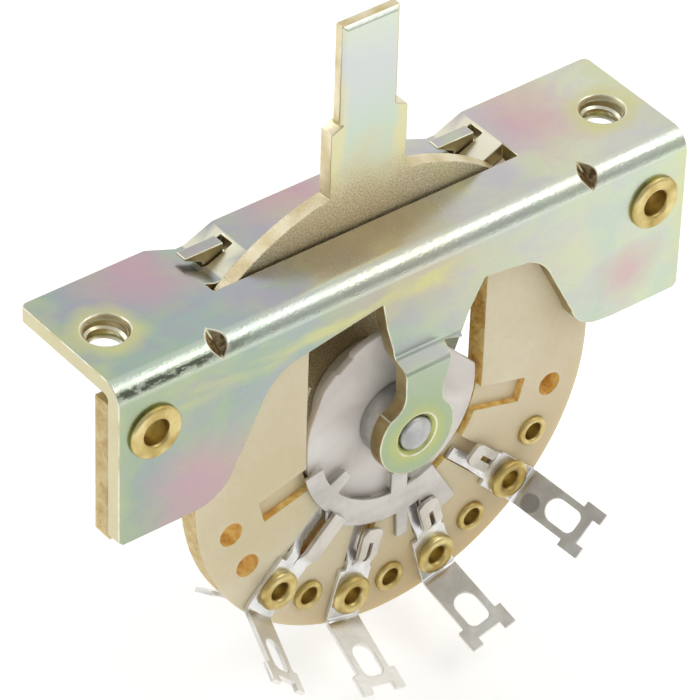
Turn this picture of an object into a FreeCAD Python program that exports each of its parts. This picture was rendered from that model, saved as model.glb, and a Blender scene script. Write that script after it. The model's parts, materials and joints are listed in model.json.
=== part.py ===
# Three-way lever pickup selector switch for an electric guitar.
# Frame: origin midway between the two mounting holes on the outer face of the
# mounting plate; +X along the slot, +Y away from the terminals side, +Z up the lever.
import FreeCAD, Part
import math
import os
import Sketcher

os.makedirs("parts", exist_ok=True)
doc = FreeCAD.newDocument("selector_switch")
sheet = doc.addObject("Spreadsheet::Sheet", "Sizes")
nodes = {}

SIZES = [
    ("frame_length", "47.3"),
    ("frame_thickness", "1.2"),
    ("frame_front", "-5.6"),
    ("frame_back", "5.33"),
    ("bend_radius", "1.6"),
    ("bend_inner_radius", "0.4"),
    ("ear_depth", "12.97"),
    ("ear_inner_foot", "17.5"),
    ("ear_corner", "0.35"),
    ("window_half_width", "8.5"),
    ("window_top", "3.95"),
    ("arm_step", "1.2"),
    ("arm_step_top", "7.75"),
    ("arm_step_bottom", "8.5"),
    ("arm_shift", "0.75"),
    ("arm_waist", "2.05"),
    ("eye_radius", "3.1"),
    ("countersink_radius", "1.68"),
    ("countersink_depth", "0.3"),
    ("slot_length", "25.3"),
    ("slot_width", "1.6"),
    ("screw_inset", "3"),
    ("screw_bore_radius", "1.43"),
    ("screw_mouth_radius", "1.68"),
    ("screw_collar_radius", "2.2"),
    ("screw_collar_height", "0.65"),
    ("valley_pitch", "21"),
    ("valley_depth", "1.05"),
    ("valley_start", "13.8"),
    ("valley_middle", "10.9"),
    ("valley_end", "8.3"),
    ("hook_hole_left", "11.0"),
    ("hook_hole_right", "8.55"),
    ("hook_hole_front", "2.7"),
    ("hook_hole_back", "3.95"),
    ("dart_offset", "15.4"),
    ("dart_width", "1.6"),
    ("dart_depth", "0.5"),
    ("pivot_depth", "14.1"),
    ("wafer_thickness", "1.6"),
    ("wafer_radius", "16.63"),
    ("wafer_end_inset", "0.15"),
    ("wafer_top", "2.1"),
    ("wafer_foot", "13.2"),
    ("wafer_opening", "7.5"),
    ("rivet_circle", "14.1"),
    ("rivet_pitch", "15"),
    ("rivet_hole_radius", "0.9"),
    ("recess_inner", "7.3"),
    ("recess_outer", "11.5"),
    ("recess_width", "1.9"),
    ("recess_depth", "0.55"),
    ("frame_eyelet_inset", "2.8"),
    ("frame_eyelet_depth", "4.5"),
    ("frame_eyelet_radius", "1.25"),
    ("frame_eyelet_bore", "0.98"),
    ("frame_eyelet_flange", "2.0"),
    ("frame_eyelet_proud", "0.42"),
    ("lug_thickness", "0.35"),
    ("lug_width", "2.8"),
    ("lug_inner", "12.4"),
    ("lug_bend", "15.9"),
    ("lug_bend_radius", "0.7"),
    ("lug_tab_length", "6.35"),
    ("lug_tab_angle", "68"),
    ("lug_tip_width", "3.75"),
    ("lug_tip_start", "4.7"),
    ("lug_notch_width", "1.95"),
    ("lug_notch_start", "5.75"),
    ("lug_hole_width", "1.75"),
    ("lug_hole_start", "2.45"),
    ("lug_hole_end", "5.05"),
    ("finger_gap", "0.05"),
    ("finger_width", "1.7"),
    ("finger_offset", "0.4"),
    ("finger_reach", "8.75"),
    ("common_finger_width", "1.35"),
    ("common_finger_offset", "0.72"),
    ("common_finger_reach", "7.65"),
    ("under_finger_width", "0.9"),
    ("under_finger_offset", "-0.46"),
    ("under_finger_reach", "7.75"),
    ("finger_slot_width", "0.35"),
    ("lug_eyelet_flange", "1.52"),
    ("lug_eyelet_proud", "0.6"),
    ("lug_eyelet_bore", "0.67"),
    ("lug_tail_radius", "1.15"),
    ("lug_tail_proud", "0.35"),
    ("rivet_clearance", "0.02"),
    ("blade_thickness", "0.3"),
    ("blade_inner", "6.4"),
    ("blade_outer", "8.45"),
    ("blade_tab_reach", "10.65"),
    ("blade_hook_reach", "4.95"),
    ("blade_heel", "7.9"),
    ("blade_gap", "0.05"),
    ("rotor_radius", "7.17"),
    ("rotor_recess", "0.3"),
    ("rotor_flat", "5.75"),
    ("rotor_plate", "0.6"),
    ("rotor_rim_step", "0.25"),
    ("rotor_pad_width", "1.6"),
    ("rotor_hub_radius", "4.2"),
    ("shaft_radius", "1.28"),
    ("shaft_across_flats", "1.9"),
    ("shaft_clearance", "0.04"),
    ("seat_gap", "0.05"),
    ("shaft_collar_radius", "2.8"),
    ("spacer_radius", "2.2"),
    ("groove_radius", "0.95"),
    ("lever_thickness", "1.2"),
    ("lever_blade_width", "4.7"),
    ("lever_tip", "16.3"),
    ("lever_chamfer", "0.28"),
    ("lever_shoulder", "8.5"),
    ("lever_root_width", "6.25"),
    ("shield_radius", "17.4"),
    ("shield_angle", "58"),
    ("lever_hub_radius", "4.6"),
    ("detent_circle", "9.6"),
    ("detent_hole_radius", "0.95"),
    ("detent_pitch", "30"),
    ("nib_radius", "0.8"),
    ("index_front", "2.8"),
    ("index_thickness", "1.0"),
    ("index_half_width", "16"),
    ("index_foot_radius", "11.9"),
    ("hook_proud", "0.15"),
    ("hook_overhang", "12.3"),
    ("hook_neck_left", "10.85"),
    ("hook_neck_right", "9.2"),
    ("spring_thickness", "0.3"),
    ("spring_width", "2.4"),
    ("spring_rivet_x", "8.0"),
    ("spring_rivet_head", "1.3"),
    ("spring_rivet_radius", "0.75"),
    ("spring_rivet_proud", "0.5"),
    ("ring_outer", "2.4"),
    ("ring_thickness", "0.5"),
    ("ring_gap", "0.05"),
]

DERIVED = [
    ("half_length", "=frame_length / 2"),
    ("screw_spacing", "=frame_length - screw_inset * 2"),
    ("wafer_half_length", "=half_length - wafer_end_inset"),
    ("frame_eyelet_x", "=half_length - frame_eyelet_inset"),
    ("wafer_front", "=frame_front + frame_thickness"),
    ("wafer_back", "=wafer_front + wafer_thickness"),
    ("wafer_middle", "=wafer_front + wafer_thickness / 2"),
    ("arm_front", "=frame_front - arm_step"),
    ("rotor_front", "=wafer_front + rotor_recess"),
    ("finger_lift", "=blade_gap + blade_thickness + finger_gap"),
    ("lug_corner", "=lug_bend + lug_bend_radius * tan(lug_tab_angle / 2)"),
    ("lug_bend_inner", "=lug_bend_radius - lug_thickness"),
    ("lever_front", "=-lever_thickness / 2"),
    ("lever_back", "=lever_thickness / 2"),
    ("index_back", "=index_front + index_thickness"),
    ("ring_front", "=index_back + ring_gap"),
    ("shaft_end", "=ring_front + ring_thickness + 0.45"),
    ("shaft_bore", "=shaft_radius + shaft_clearance"),
]


def fill_sheet():
    """Write every size and derived size under its own name."""
    row = 1
    for name, text in SIZES + DERIVED:
        sheet.set("A%d" % row, name)
        sheet.set("B%d" % row, text)
        sheet.setAlias("B%d" % row, name)
        row += 1
    doc.recompute()


def bind(text):
    """Turn plain size names in a formula into references to the sheet."""
    names = sorted((n for n, _ in SIZES + DERIVED), key=len, reverse=True)
    out = ""
    word = ""
    for letter in text + " ":
        if letter.isalnum() or letter == "_":
            word += letter
            continue
        out += "Sizes." + word if word in names else word
        out += letter
        word = ""
    return out.strip()


def value(text):
    """Number that a formula gives at present."""
    return float(sheet.evalExpression(bind(text)))


def drive(thing, field, text):
    thing.setExpression(field, bind(text))


def body_at_pivot(name, angle="0"):
    """Body whose own origin is the lever's pivot, turned about it."""
    body = doc.addObject("PartDesign::Body", name)
    body.Placement.Rotation = FreeCAD.Rotation(FreeCAD.Vector(0, 1, 0), 0)
    drive(body, "Placement.Base.z", "-pivot_depth")
    drive(body, "Placement.Rotation.Angle", angle)
    return body


def plane_of(body, role):
    return [f for f in body.Origin.OriginFeatures if f.Role == role][0]


def sketch_on(body, name, role, offset="0"):
    """Sketch on one of the body's own planes, moved along the plane's normal."""
    sketch = body.newObject("Sketcher::SketchObject", name)
    sketch.AttachmentSupport = [(plane_of(body, role), "")]
    sketch.MapMode = "FlatFace"
    drive(sketch, "AttachmentOffset.Base.z", offset)
    return sketch


def arc_between(start, end, radius):
    """Arc from start to end: positive radius turns left, negative turns right."""
    dx = end[0] - start[0]
    dy = end[1] - start[1]
    half = math.hypot(dx, dy) / 2
    rise = math.sqrt(max(radius * radius - half * half, 0))
    side = 1 if radius > 0 else -1
    cx = (start[0] + end[0]) / 2 - side * rise * dy / (2 * half)
    cy = (start[1] + end[1]) / 2 + side * rise * dx / (2 * half)
    a0 = math.atan2(start[1] - cy, start[0] - cx)
    a1 = math.atan2(end[1] - cy, end[0] - cx)
    if side < 0:
        a0, a1 = a1, a0
    if a1 < a0:
        a1 += 2 * math.pi
    circle = Part.Circle(FreeCAD.Vector(cx, cy, 0), FreeCAD.Vector(0, 0, 1), abs(radius))
    return Part.ArcOfCircle(circle, a0, a1)


def outline(sketch, corners):
    """Closed profile. A corner is (x, y) or (x, y, radius of the arc to the next)."""
    here = [(value(c[0]), value(c[1])) for c in corners]
    edges = []
    for i, corner in enumerate(corners):
        start = here[i]
        end = here[(i + 1) % len(corners)]
        if len(corner) == 3:
            radius = value(corner[2])
            edges.append((sketch.addGeometry(arc_between(start, end, radius)), radius < 0))
        else:
            line = Part.LineSegment(FreeCAD.Vector(*start, 0), FreeCAD.Vector(*end, 0))
            edges.append((sketch.addGeometry(line), False))
    for i, corner in enumerate(corners):
        index, backwards = edges[i]
        after, after_backwards = edges[(i + 1) % len(corners)]
        first = 2 if backwards else 1
        last = 1 if backwards else 2
        next_first = 2 if after_backwards else 1
        sketch.addConstraint(Sketcher.Constraint("Coincident", index, last, after, next_first))
        across = sketch.addConstraint(Sketcher.Constraint("DistanceX", index, first, here[i][0]))
        along = sketch.addConstraint(Sketcher.Constraint("DistanceY", index, first, here[i][1]))
        drive(sketch, "Constraints[%d]" % across, corner[0])
        drive(sketch, "Constraints[%d]" % along, corner[1])
        if len(corner) == 3:
            bend = sketch.addConstraint(Sketcher.Constraint("Radius", index, abs(value(corner[2]))))
            drive(sketch, "Constraints[%d]" % bend, "abs(%s)" % corner[2])


def ring_at(sketch, x, y, radius):
    """Circle with its centre and radius driven."""
    centre = FreeCAD.Vector(value(x), value(y), 0)
    circle = Part.Circle(centre, FreeCAD.Vector(0, 0, 1), value(radius))
    index = sketch.addGeometry(circle)
    across = sketch.addConstraint(Sketcher.Constraint("DistanceX", index, 3, centre.x))
    along = sketch.addConstraint(Sketcher.Constraint("DistanceY", index, 3, centre.y))
    size = sketch.addConstraint(Sketcher.Constraint("Radius", index, value(radius)))
    drive(sketch, "Constraints[%d]" % across, x)
    drive(sketch, "Constraints[%d]" % along, y)
    drive(sketch, "Constraints[%d]" % size, radius)


def box_outline(sketch, x0, x1, y0, y1):
    outline(sketch, [(x0, y0), (x1, y0), (x1, y1), (x0, y1)])


def pad(body, name, sketch, length, both_ways=False, reverse=False):
    feature = body.newObject("PartDesign::Pad", name)
    feature.Profile = sketch
    feature.SideType = "Symmetric" if both_ways else "One side"
    feature.Reversed = reverse
    feature.FuzzyTolerance = 0
    drive(feature, "Length", length)
    doc.recompute()
    return feature


def pocket(body, name, sketch, length, both_ways=False, reverse=False):
    feature = body.newObject("PartDesign::Pocket", name)
    feature.Profile = sketch
    feature.SideType = "Symmetric" if both_ways else "One side"
    feature.Reversed = reverse
    feature.FuzzyTolerance = 0
    drive(feature, "Length", length)
    doc.recompute()
    before = feature.BaseFeature.Shape.Volume
    if not feature.Shape.Volume < before - 1e-6:
        raise RuntimeError(name + " removes nothing")
    return feature


def soften(body, name, size, test, kind="PartDesign::Fillet"):
    """Fillet or chamfer the edges of the body so far that pass the test."""
    base = body.Tip
    chosen = ["Edge%d" % (i + 1) for i, e in enumerate(base.Shape.Edges) if test(e)]
    if not chosen:
        raise RuntimeError(name + " finds no edge")
    feature = body.newObject(kind, name)
    feature.Base = (base, chosen)
    drive(feature, "Radius" if kind == "PartDesign::Fillet" else "Size", size)
    doc.recompute()
    return feature


def spin(body, name, sketch, axis):
    """Full turn of a profile about the sketch's own H_Axis or V_Axis."""
    feature = body.newObject("PartDesign::Revolution", name)
    feature.Profile = sketch
    feature.ReferenceAxis = (sketch, [axis])
    feature.Angle = 360
    feature.FuzzyTolerance = 0
    doc.recompute()
    return feature


def middle(edge):
    """Middle of an edge."""
    return edge.CenterOfMass


# The frame

def frame_bracket():
    """Folded sheet: mounting plate, front flange with two ears and the stepped arm."""
    body = doc.addObject("PartDesign::Body", "frame_sheet")

    side = sketch_on(body, "plate_section", "YZ_Plane")
    outline(side, [
        ("frame_back", "0"),
        ("frame_front + bend_radius", "0", "bend_radius"),
        ("frame_front", "-bend_radius"),
        ("frame_front", "-ear_depth"),
        ("frame_front + frame_thickness", "-ear_depth"),
        ("frame_front + frame_thickness", "-frame_thickness - bend_inner_radius", "-bend_inner_radius"),
        ("frame_front + frame_thickness + bend_inner_radius", "-frame_thickness"),
        ("frame_back", "-frame_thickness"),
    ])
    pad(body, "plate_and_flange", side, "frame_length", both_ways=True)

    room = sketch_on(body, "arm_room", "XZ_Plane", "-wafer_front")
    box_outline(room, "arm_shift - eye_radius * 2", "arm_shift + eye_radius * 2",
                "-ear_depth - 1", "-arm_step_top + 0.9")
    pocket(body, "clear_arm", room, "frame_thickness + 1", reverse=True)
    arm = sketch_on(body, "arm_section", "YZ_Plane", "arm_shift")
    outline(arm, [
        ("frame_front", "-arm_step_top + 0.9"),
        ("frame_front", "-arm_step_top + 0.1", "-0.5"),
        ("frame_front - 0.26", "-arm_step_top - 0.33"),
        ("frame_front - arm_step + 0.26", "-arm_step_bottom + 0.03", "0.5"),
        ("arm_front", "-arm_step_bottom - 0.4"),
        ("arm_front", "-pivot_depth - eye_radius"),
        ("arm_front + frame_thickness", "-pivot_depth - eye_radius"),
        ("arm_front + frame_thickness", "-arm_step_bottom - 0.15", "-0.4"),
        ("arm_front + frame_thickness + 0.2", "-arm_step_bottom + 0.2"),
        ("wafer_front - 0.26", "-arm_step_top - 0.1", "0.5"),
        ("wafer_front", "-arm_step_top + 0.33"),
        ("wafer_front", "-arm_step_top + 0.9"),
    ])
    pad(body, "arm_blank", arm, "eye_radius * 4", both_ways=True)

    opening = sketch_on(body, "flange_opening", "XZ_Plane", "-wafer_front")
    left = [
        ("-ear_inner_foot", "-ear_depth - 6"),
        ("-ear_inner_foot", "-ear_depth"),
        ("-ear_inner_foot + 0.9", "-ear_depth + 0.12", "3.4"),
        ("-ear_inner_foot + 3.2", "-ear_depth + 2.27"),
        ("-ear_inner_foot + 5.3", "-ear_depth + 6.37", "-4.2"),
        ("-window_half_width - 1.5", "-window_top - 0.32"),
        ("-window_half_width", "-window_top"),
        ("-2.35", "-window_top + 1.1"),
        ("-1.95", "-5.0"),
        ("-1.35", "-7.1"),
        ("-1.12", "-8.3"),
        ("-1.08", "-pivot_depth + 3.85", "-1.6"),
        ("-2.3", "-pivot_depth + 2.08", "eye_radius"),
        ("0", "-pivot_depth - eye_radius", "eye_radius"),
    ]
    right = [
        ("2.84", "-pivot_depth + 1.24"),
        ("arm_waist + 0.1", "-pivot_depth + 2.2", "-3.2"),
        ("arm_waist + 0.3", "-pivot_depth + 4.1"),
        ("arm_waist + 0.85", "-pivot_depth + 6.1"),
        ("arm_waist + 2.15", "-8.2"),
        ("6.3", "-window_top - 0.45"),
        ("10.0", "-window_top - 0.95", "-3.6"),
        ("12.0", "-window_top - 2.75"),
        ("14.1", "-ear_depth + 2.2", "2.9"),
        ("ear_inner_foot - 0.9", "-ear_depth + 0.12"),
        ("ear_inner_foot + 0.3", "-ear_depth"),
        ("ear_inner_foot + 0.3", "-ear_depth - 6"),
    ]
    outline(opening, left + right)
    pocket(body, "cut_opening", opening, "frame_thickness + arm_step + 1", reverse=True)

    slot = sketch_on(body, "lever_slot", "XY_Plane", "1")
    box_outline(slot, "-slot_length / 2", "slot_length / 2", "-slot_width / 2", "slot_width / 2")
    pocket(body, "cut_slot", slot, "frame_thickness + 2")

    for name, shift in (("left", "0"), ("right", "valley_pitch")):
        press_valley(body, name, shift)

    bores = sketch_on(body, "eyelet_bores", "XZ_Plane", "-wafer_front - 1")
    for sign in ("-", ""):
        ring_at(bores, sign + "frame_eyelet_x", "-frame_eyelet_depth", "frame_eyelet_radius + rivet_clearance")
    pocket(body, "cut_eyelet_bores", bores, "frame_thickness + 2", reverse=True)

    eye = sketch_on(body, "arm_bore", "XZ_Plane", "-frame_front - 1")
    ring_at(eye, "0", "-pivot_depth", "shaft_bore")
    pocket(body, "cut_arm_bore", eye, "frame_thickness + 3", reverse=True)
    cone = body.newObject("PartDesign::SubtractiveCone", "arm_countersink")
    cone.AttachmentSupport = [(plane_of(body, "XZ_Plane"), "")]
    cone.MapMode = "FlatFace"
    drive(cone, "AttachmentOffset.Base.y", "-pivot_depth")
    drive(cone, "AttachmentOffset.Base.z", "-arm_front - countersink_depth")
    drive(cone, "Radius1", "shaft_bore")
    drive(cone, "Radius2", "countersink_radius")
    drive(cone, "Height", "countersink_depth")
    cone.FuzzyTolerance = 0
    doc.recompute()

    def plate_corner(edge):
        at = middle(edge)
        ends = [v.Point for v in edge.Vertexes]
        upright = len(ends) == 2 and abs(ends[0].z - ends[1].z) > 1
        at_back = abs(at.y - value("frame_back")) < 0.01
        return upright and at_back and abs(abs(at.x) - value("half_length")) < 0.01
    soften(body, "plate_corners", "0.5", plate_corner)

    def ear_corner(edge):
        at = middle(edge)
        ends = [v.Point for v in edge.Vertexes]
        through = len(ends) == 2 and abs(ends[0].y - ends[1].y) > 1
        at_foot = abs(at.z + value("ear_depth")) < 0.01
        return through and at_foot and abs(abs(at.x) - value("half_length")) < 0.01
    soften(body, "ear_corners", "ear_corner", ear_corner, "PartDesign::Chamfer")

    threaded = screw_collars(body)
    return press_darts(threaded)


def press_valley(body, name, shift):
    """Valley pressed into the strip behind the slot, with the hook's hole in it."""
    x0 = "-valley_start + " + shift
    xm = "-valley_middle + " + shift
    x1 = "-valley_end + " + shift
    room = sketch_on(body, "valley_room_" + name, "XZ_Plane", "-slot_width / 2")
    outline(room, [
        (x0, "0.5"), (x0, "-frame_thickness - 0.5"), (x1, "-frame_thickness - 0.5"), (x1, "0.5"),
    ])
    pocket(body, "clear_valley_" + name, room, "frame_back - slot_width / 2 + 1")
    band = sketch_on(body, "valley_band_" + name, "XZ_Plane", "-slot_width / 2")
    outline(band, [
        (x0, "0"),
        (xm + " - 0.35", "-valley_depth + 0.06"),
        (xm + " + 0.35", "-valley_depth + 0.08"),
        (x1, "0"),
        (x1, "-frame_thickness"),
        (xm + " + 0.35", "-valley_depth + 0.08 - frame_thickness"),
        (xm + " - 0.35", "-valley_depth + 0.06 - frame_thickness"),
        (x0, "-frame_thickness"),
    ])
    pad(body, "valley_" + name, band, "frame_back - slot_width / 2", reverse=True)
    hole = sketch_on(body, "hook_hole_" + name, "XY_Plane", "1")
    box_outline(hole, "-hook_hole_left + " + shift, "-hook_hole_right + " + shift,
                "hook_hole_front", "hook_hole_back")
    pocket(body, "cut_hook_hole_" + name, hole, "frame_thickness + valley_depth + 2")


def screw_collars(body):
    """Extruded collars under the plate with a tapped bore and a rounded mouth."""
    last = body
    for name, sign in (("left", "-"), ("right", "")):
        centre = sign + "screw_spacing / 2"
        collar = doc.addObject("Part::Cylinder", "screw_collar_" + name)
        drive(collar, "Radius", "screw_collar_radius")
        drive(collar, "Height", "screw_collar_height + frame_thickness / 2")
        drive(collar, "Placement.Base.x", centre)
        drive(collar, "Placement.Base.z", "-frame_thickness - screw_collar_height")
        joined = doc.addObject("Part::Fuse", "with_collar_" + name)
        joined.Base = last
        joined.Tool = collar
        joined.Refine = True
        bore = doc.addObject("Part::Cylinder", "screw_bore_" + name)
        drive(bore, "Radius", "screw_bore_radius")
        drive(bore, "Height", "frame_thickness + screw_collar_height + 2")
        drive(bore, "Placement.Base.x", centre)
        drive(bore, "Placement.Base.z", "-frame_thickness - screw_collar_height - 1")
        drilled = doc.addObject("Part::Cut", "drilled_" + name)
        drilled.Base = joined
        drilled.Tool = bore
        drilled.Refine = True
        mouth = doc.addObject("Part::Cone", "screw_mouth_" + name)
        drive(mouth, "Radius1", "screw_bore_radius")
        drive(mouth, "Radius2", "screw_mouth_radius")
        drive(mouth, "Height", "(screw_mouth_radius - screw_bore_radius) * 1.2")
        drive(mouth, "Placement.Base.x", centre)
        drive(mouth, "Placement.Base.z", "-(screw_mouth_radius - screw_bore_radius) * 1.2")
        last = doc.addObject("Part::Cut", "tapped_" + name)
        last.Base = drilled
        last.Tool = mouth
        last.Refine = True
    doc.recompute()
    return last


def dart_wedge(name, centre, depth, width, lift):
    """Triangular prism laid across the front bend, its edge pointing inwards."""
    wedge = doc.addObject("Part::Wedge", name)
    for field in ("Xmin", "Zmin", "Ymin"):
        setattr(wedge, field, 0)
    drive(wedge, "Xmax", width)
    drive(wedge, "X2min", width + " / 2 - 0.01")
    drive(wedge, "X2max", width + " / 2 + 0.01")
    drive(wedge, "Ymax", depth)
    wedge.Z2min = 0
    drive(wedge, "Zmax", "frame_thickness * 3")
    drive(wedge, "Z2max", "frame_thickness * 3")
    wedge.Placement.Rotation = FreeCAD.Rotation(FreeCAD.Vector(1, 0, 0), 0)
    drive(wedge, "Placement.Rotation.Angle", "-58")
    drive(wedge, "Placement.Base.x", centre + " - (" + width + ") / 2")
    drive(wedge, "Placement.Base.y", "frame_front - 0.63 - (%s) * sin(32)" % lift)
    drive(wedge, "Placement.Base.z", "-0.85 + (%s) * cos(32)" % lift)
    return wedge


def press_darts(sheet_metal):
    """Two stiffening darts pressed across the bend: groove outside, ridge inside."""
    last = sheet_metal
    for name, sign in (("left", "-"), ("right", "")):
        centre = sign + "dart_offset"
        ridge = dart_wedge("dart_ridge_" + name, centre, "dart_depth + 0.65", "dart_width + 0.7", "-0.6")
        inside = doc.addObject("Part::Box", "dart_room_" + name)
        drive(inside, "Length", "dart_width * 4")
        drive(inside, "Width", "frame_thickness * 3")
        drive(inside, "Height", "frame_thickness * 3")
        drive(inside, "Placement.Base.x", centre + " - dart_width * 2")
        drive(inside, "Placement.Base.y", "frame_front + 0.25")
        drive(inside, "Placement.Base.z", "-0.25 - frame_thickness * 3")
        kept = doc.addObject("Part::Common", "dart_ridge_kept_" + name)
        kept.Base = ridge
        kept.Tool = inside
        joined = doc.addObject("Part::Fuse", "with_dart_" + name)
        joined.Base = last
        joined.Tool = kept
        joined.Refine = True
        groove = dart_wedge("dart_groove_" + name, centre, "dart_depth + 0.77", "dart_width * 2.5", "0.6")
        last = doc.addObject("Part::Cut", "darted_" + name)
        last.Base = joined
        last.Tool = groove
        last.Refine = True
    doc.recompute()
    return last


# The wafer

def wafer():
    """Stator board: disc with two ears, a top window and semi-pierced recesses."""
    body = doc.addObject("PartDesign::Body", "wafer")
    face = sketch_on(body, "wafer_outline", "XZ_Plane", "-wafer_back")
    reach = "sqrt(wafer_radius ^ 2 - (pivot_depth - wafer_foot) ^ 2)"
    outline(face, [
        ("-wafer_half_length", "-wafer_top"),
        ("-wafer_half_length", "-wafer_foot"),
        ("-" + reach, "-wafer_foot", "wafer_radius"),
        ("0", "-pivot_depth - wafer_radius", "wafer_radius"),
        (reach, "-wafer_foot"),
        ("wafer_half_length", "-wafer_foot"),
        ("wafer_half_length", "-wafer_top"),
        ("wafer_opening", "-wafer_top"),
        ("wafer_opening", "-pivot_depth", "-wafer_opening"),
        ("0", "-pivot_depth - wafer_opening", "-wafer_opening"),
        ("-wafer_opening", "-pivot_depth"),
        ("-wafer_opening", "-wafer_top"),
    ])
    pad(body, "wafer_board", face, "wafer_thickness")
    holes = sketch_on(body, "rivet_holes", "XZ_Plane", "-wafer_back - 1")
    for step in range(-5, 6):
        angle = "%d * rivet_pitch" % step
        ring_at(holes, "rivet_circle * sin(%s)" % angle, "-pivot_depth - rivet_circle * cos(%s)" % angle,
                "rivet_hole_radius")
    for sign in ("-", ""):
        ring_at(holes, sign + "frame_eyelet_x", "-frame_eyelet_depth", "frame_eyelet_radius + rivet_clearance")
    pocket(body, "cut_holes", holes, "wafer_thickness + 2", reverse=True)
    recess(body, "front", "-wafer_front - recess_depth", (-5, -3, -1, 1, 3, 5), reverse=True)
    recess(body, "back", "-wafer_back", (-2, 0, 2, 4), reverse=True)
    return body


def recess(body, name, level, steps, reverse):
    """Radial recesses sunk in one face for the fingers that run under the blade."""
    sketch = sketch_on(body, "recess_outline_" + name, "XZ_Plane", level)
    for step in steps:
        corners = []
        for radial, across in (("recess_inner", "-"), ("recess_outer", "-"), ("recess_outer", ""), ("recess_inner", "")):
            turn = "(%d * rivet_pitch)" % step
            side = across + "recess_width / 2"
            corners.append((
                "%s * sin(%s) + %s * cos(%s)" % (radial, turn, side, turn),
                "-pivot_depth - %s * cos(%s) + %s * sin(%s)" % (radial, turn, side, turn),
            ))
        outline(sketch, corners)
    pocket(body, "cut_recess_" + name, sketch, "recess_depth", reverse=reverse)


# The eyelets

def eyelet(name, x, depth, bore, barrel, flange, tail, near, proud, far, tail_proud):
    """Rolled eyelet along Y: big flange beyond near, small rolled tail beyond far."""
    body = doc.addObject("PartDesign::Body", name)
    drive(body, "Placement.Base.x", x)
    drive(body, "Placement.Base.z", depth)
    way = "-" if value(near) < value(far) else "+"
    back = "+" if way == "-" else "-"
    turn = 1 if way == "-" else -1
    crown = "%s %s %s" % (near, way, proud)
    foot = "%s %s %s" % (far, back, tail_proud)
    profile = sketch_on(body, name + "_section", "XY_Plane")
    outline(profile, [
        (barrel, near),
        (flange, near),
        ("(%s + %s) / 2" % (flange, bore), crown),
        (bore, "%s %s %s * 0.4" % (crown, back, proud)),
        (bore, foot),
        (tail, far),
        (barrel, far),
    ])
    spin(body, name + "_roll", profile, "V_Axis")
    return body


# The lugs

def across(side, height):
    """Depth in Y of a height above the front (side 1) or back (side -1) of the wafer."""
    face = "wafer_front" if side > 0 else "wafer_back"
    return "%s %s (%s)" % (face, "-" if side > 0 else "+", height)


def strip(body, name, side, points, width, offset="0"):
    """Bent strip: a band in the radial plane with the given width along X."""
    sketch = sketch_on(body, name + "_section", "YZ_Plane", offset)
    outline(sketch, [(across(side, p[1]), "-(%s)" % p[0]) + tuple(p[2:]) for p in points])
    return pad(body, name, sketch, width, both_ways=True)


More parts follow.
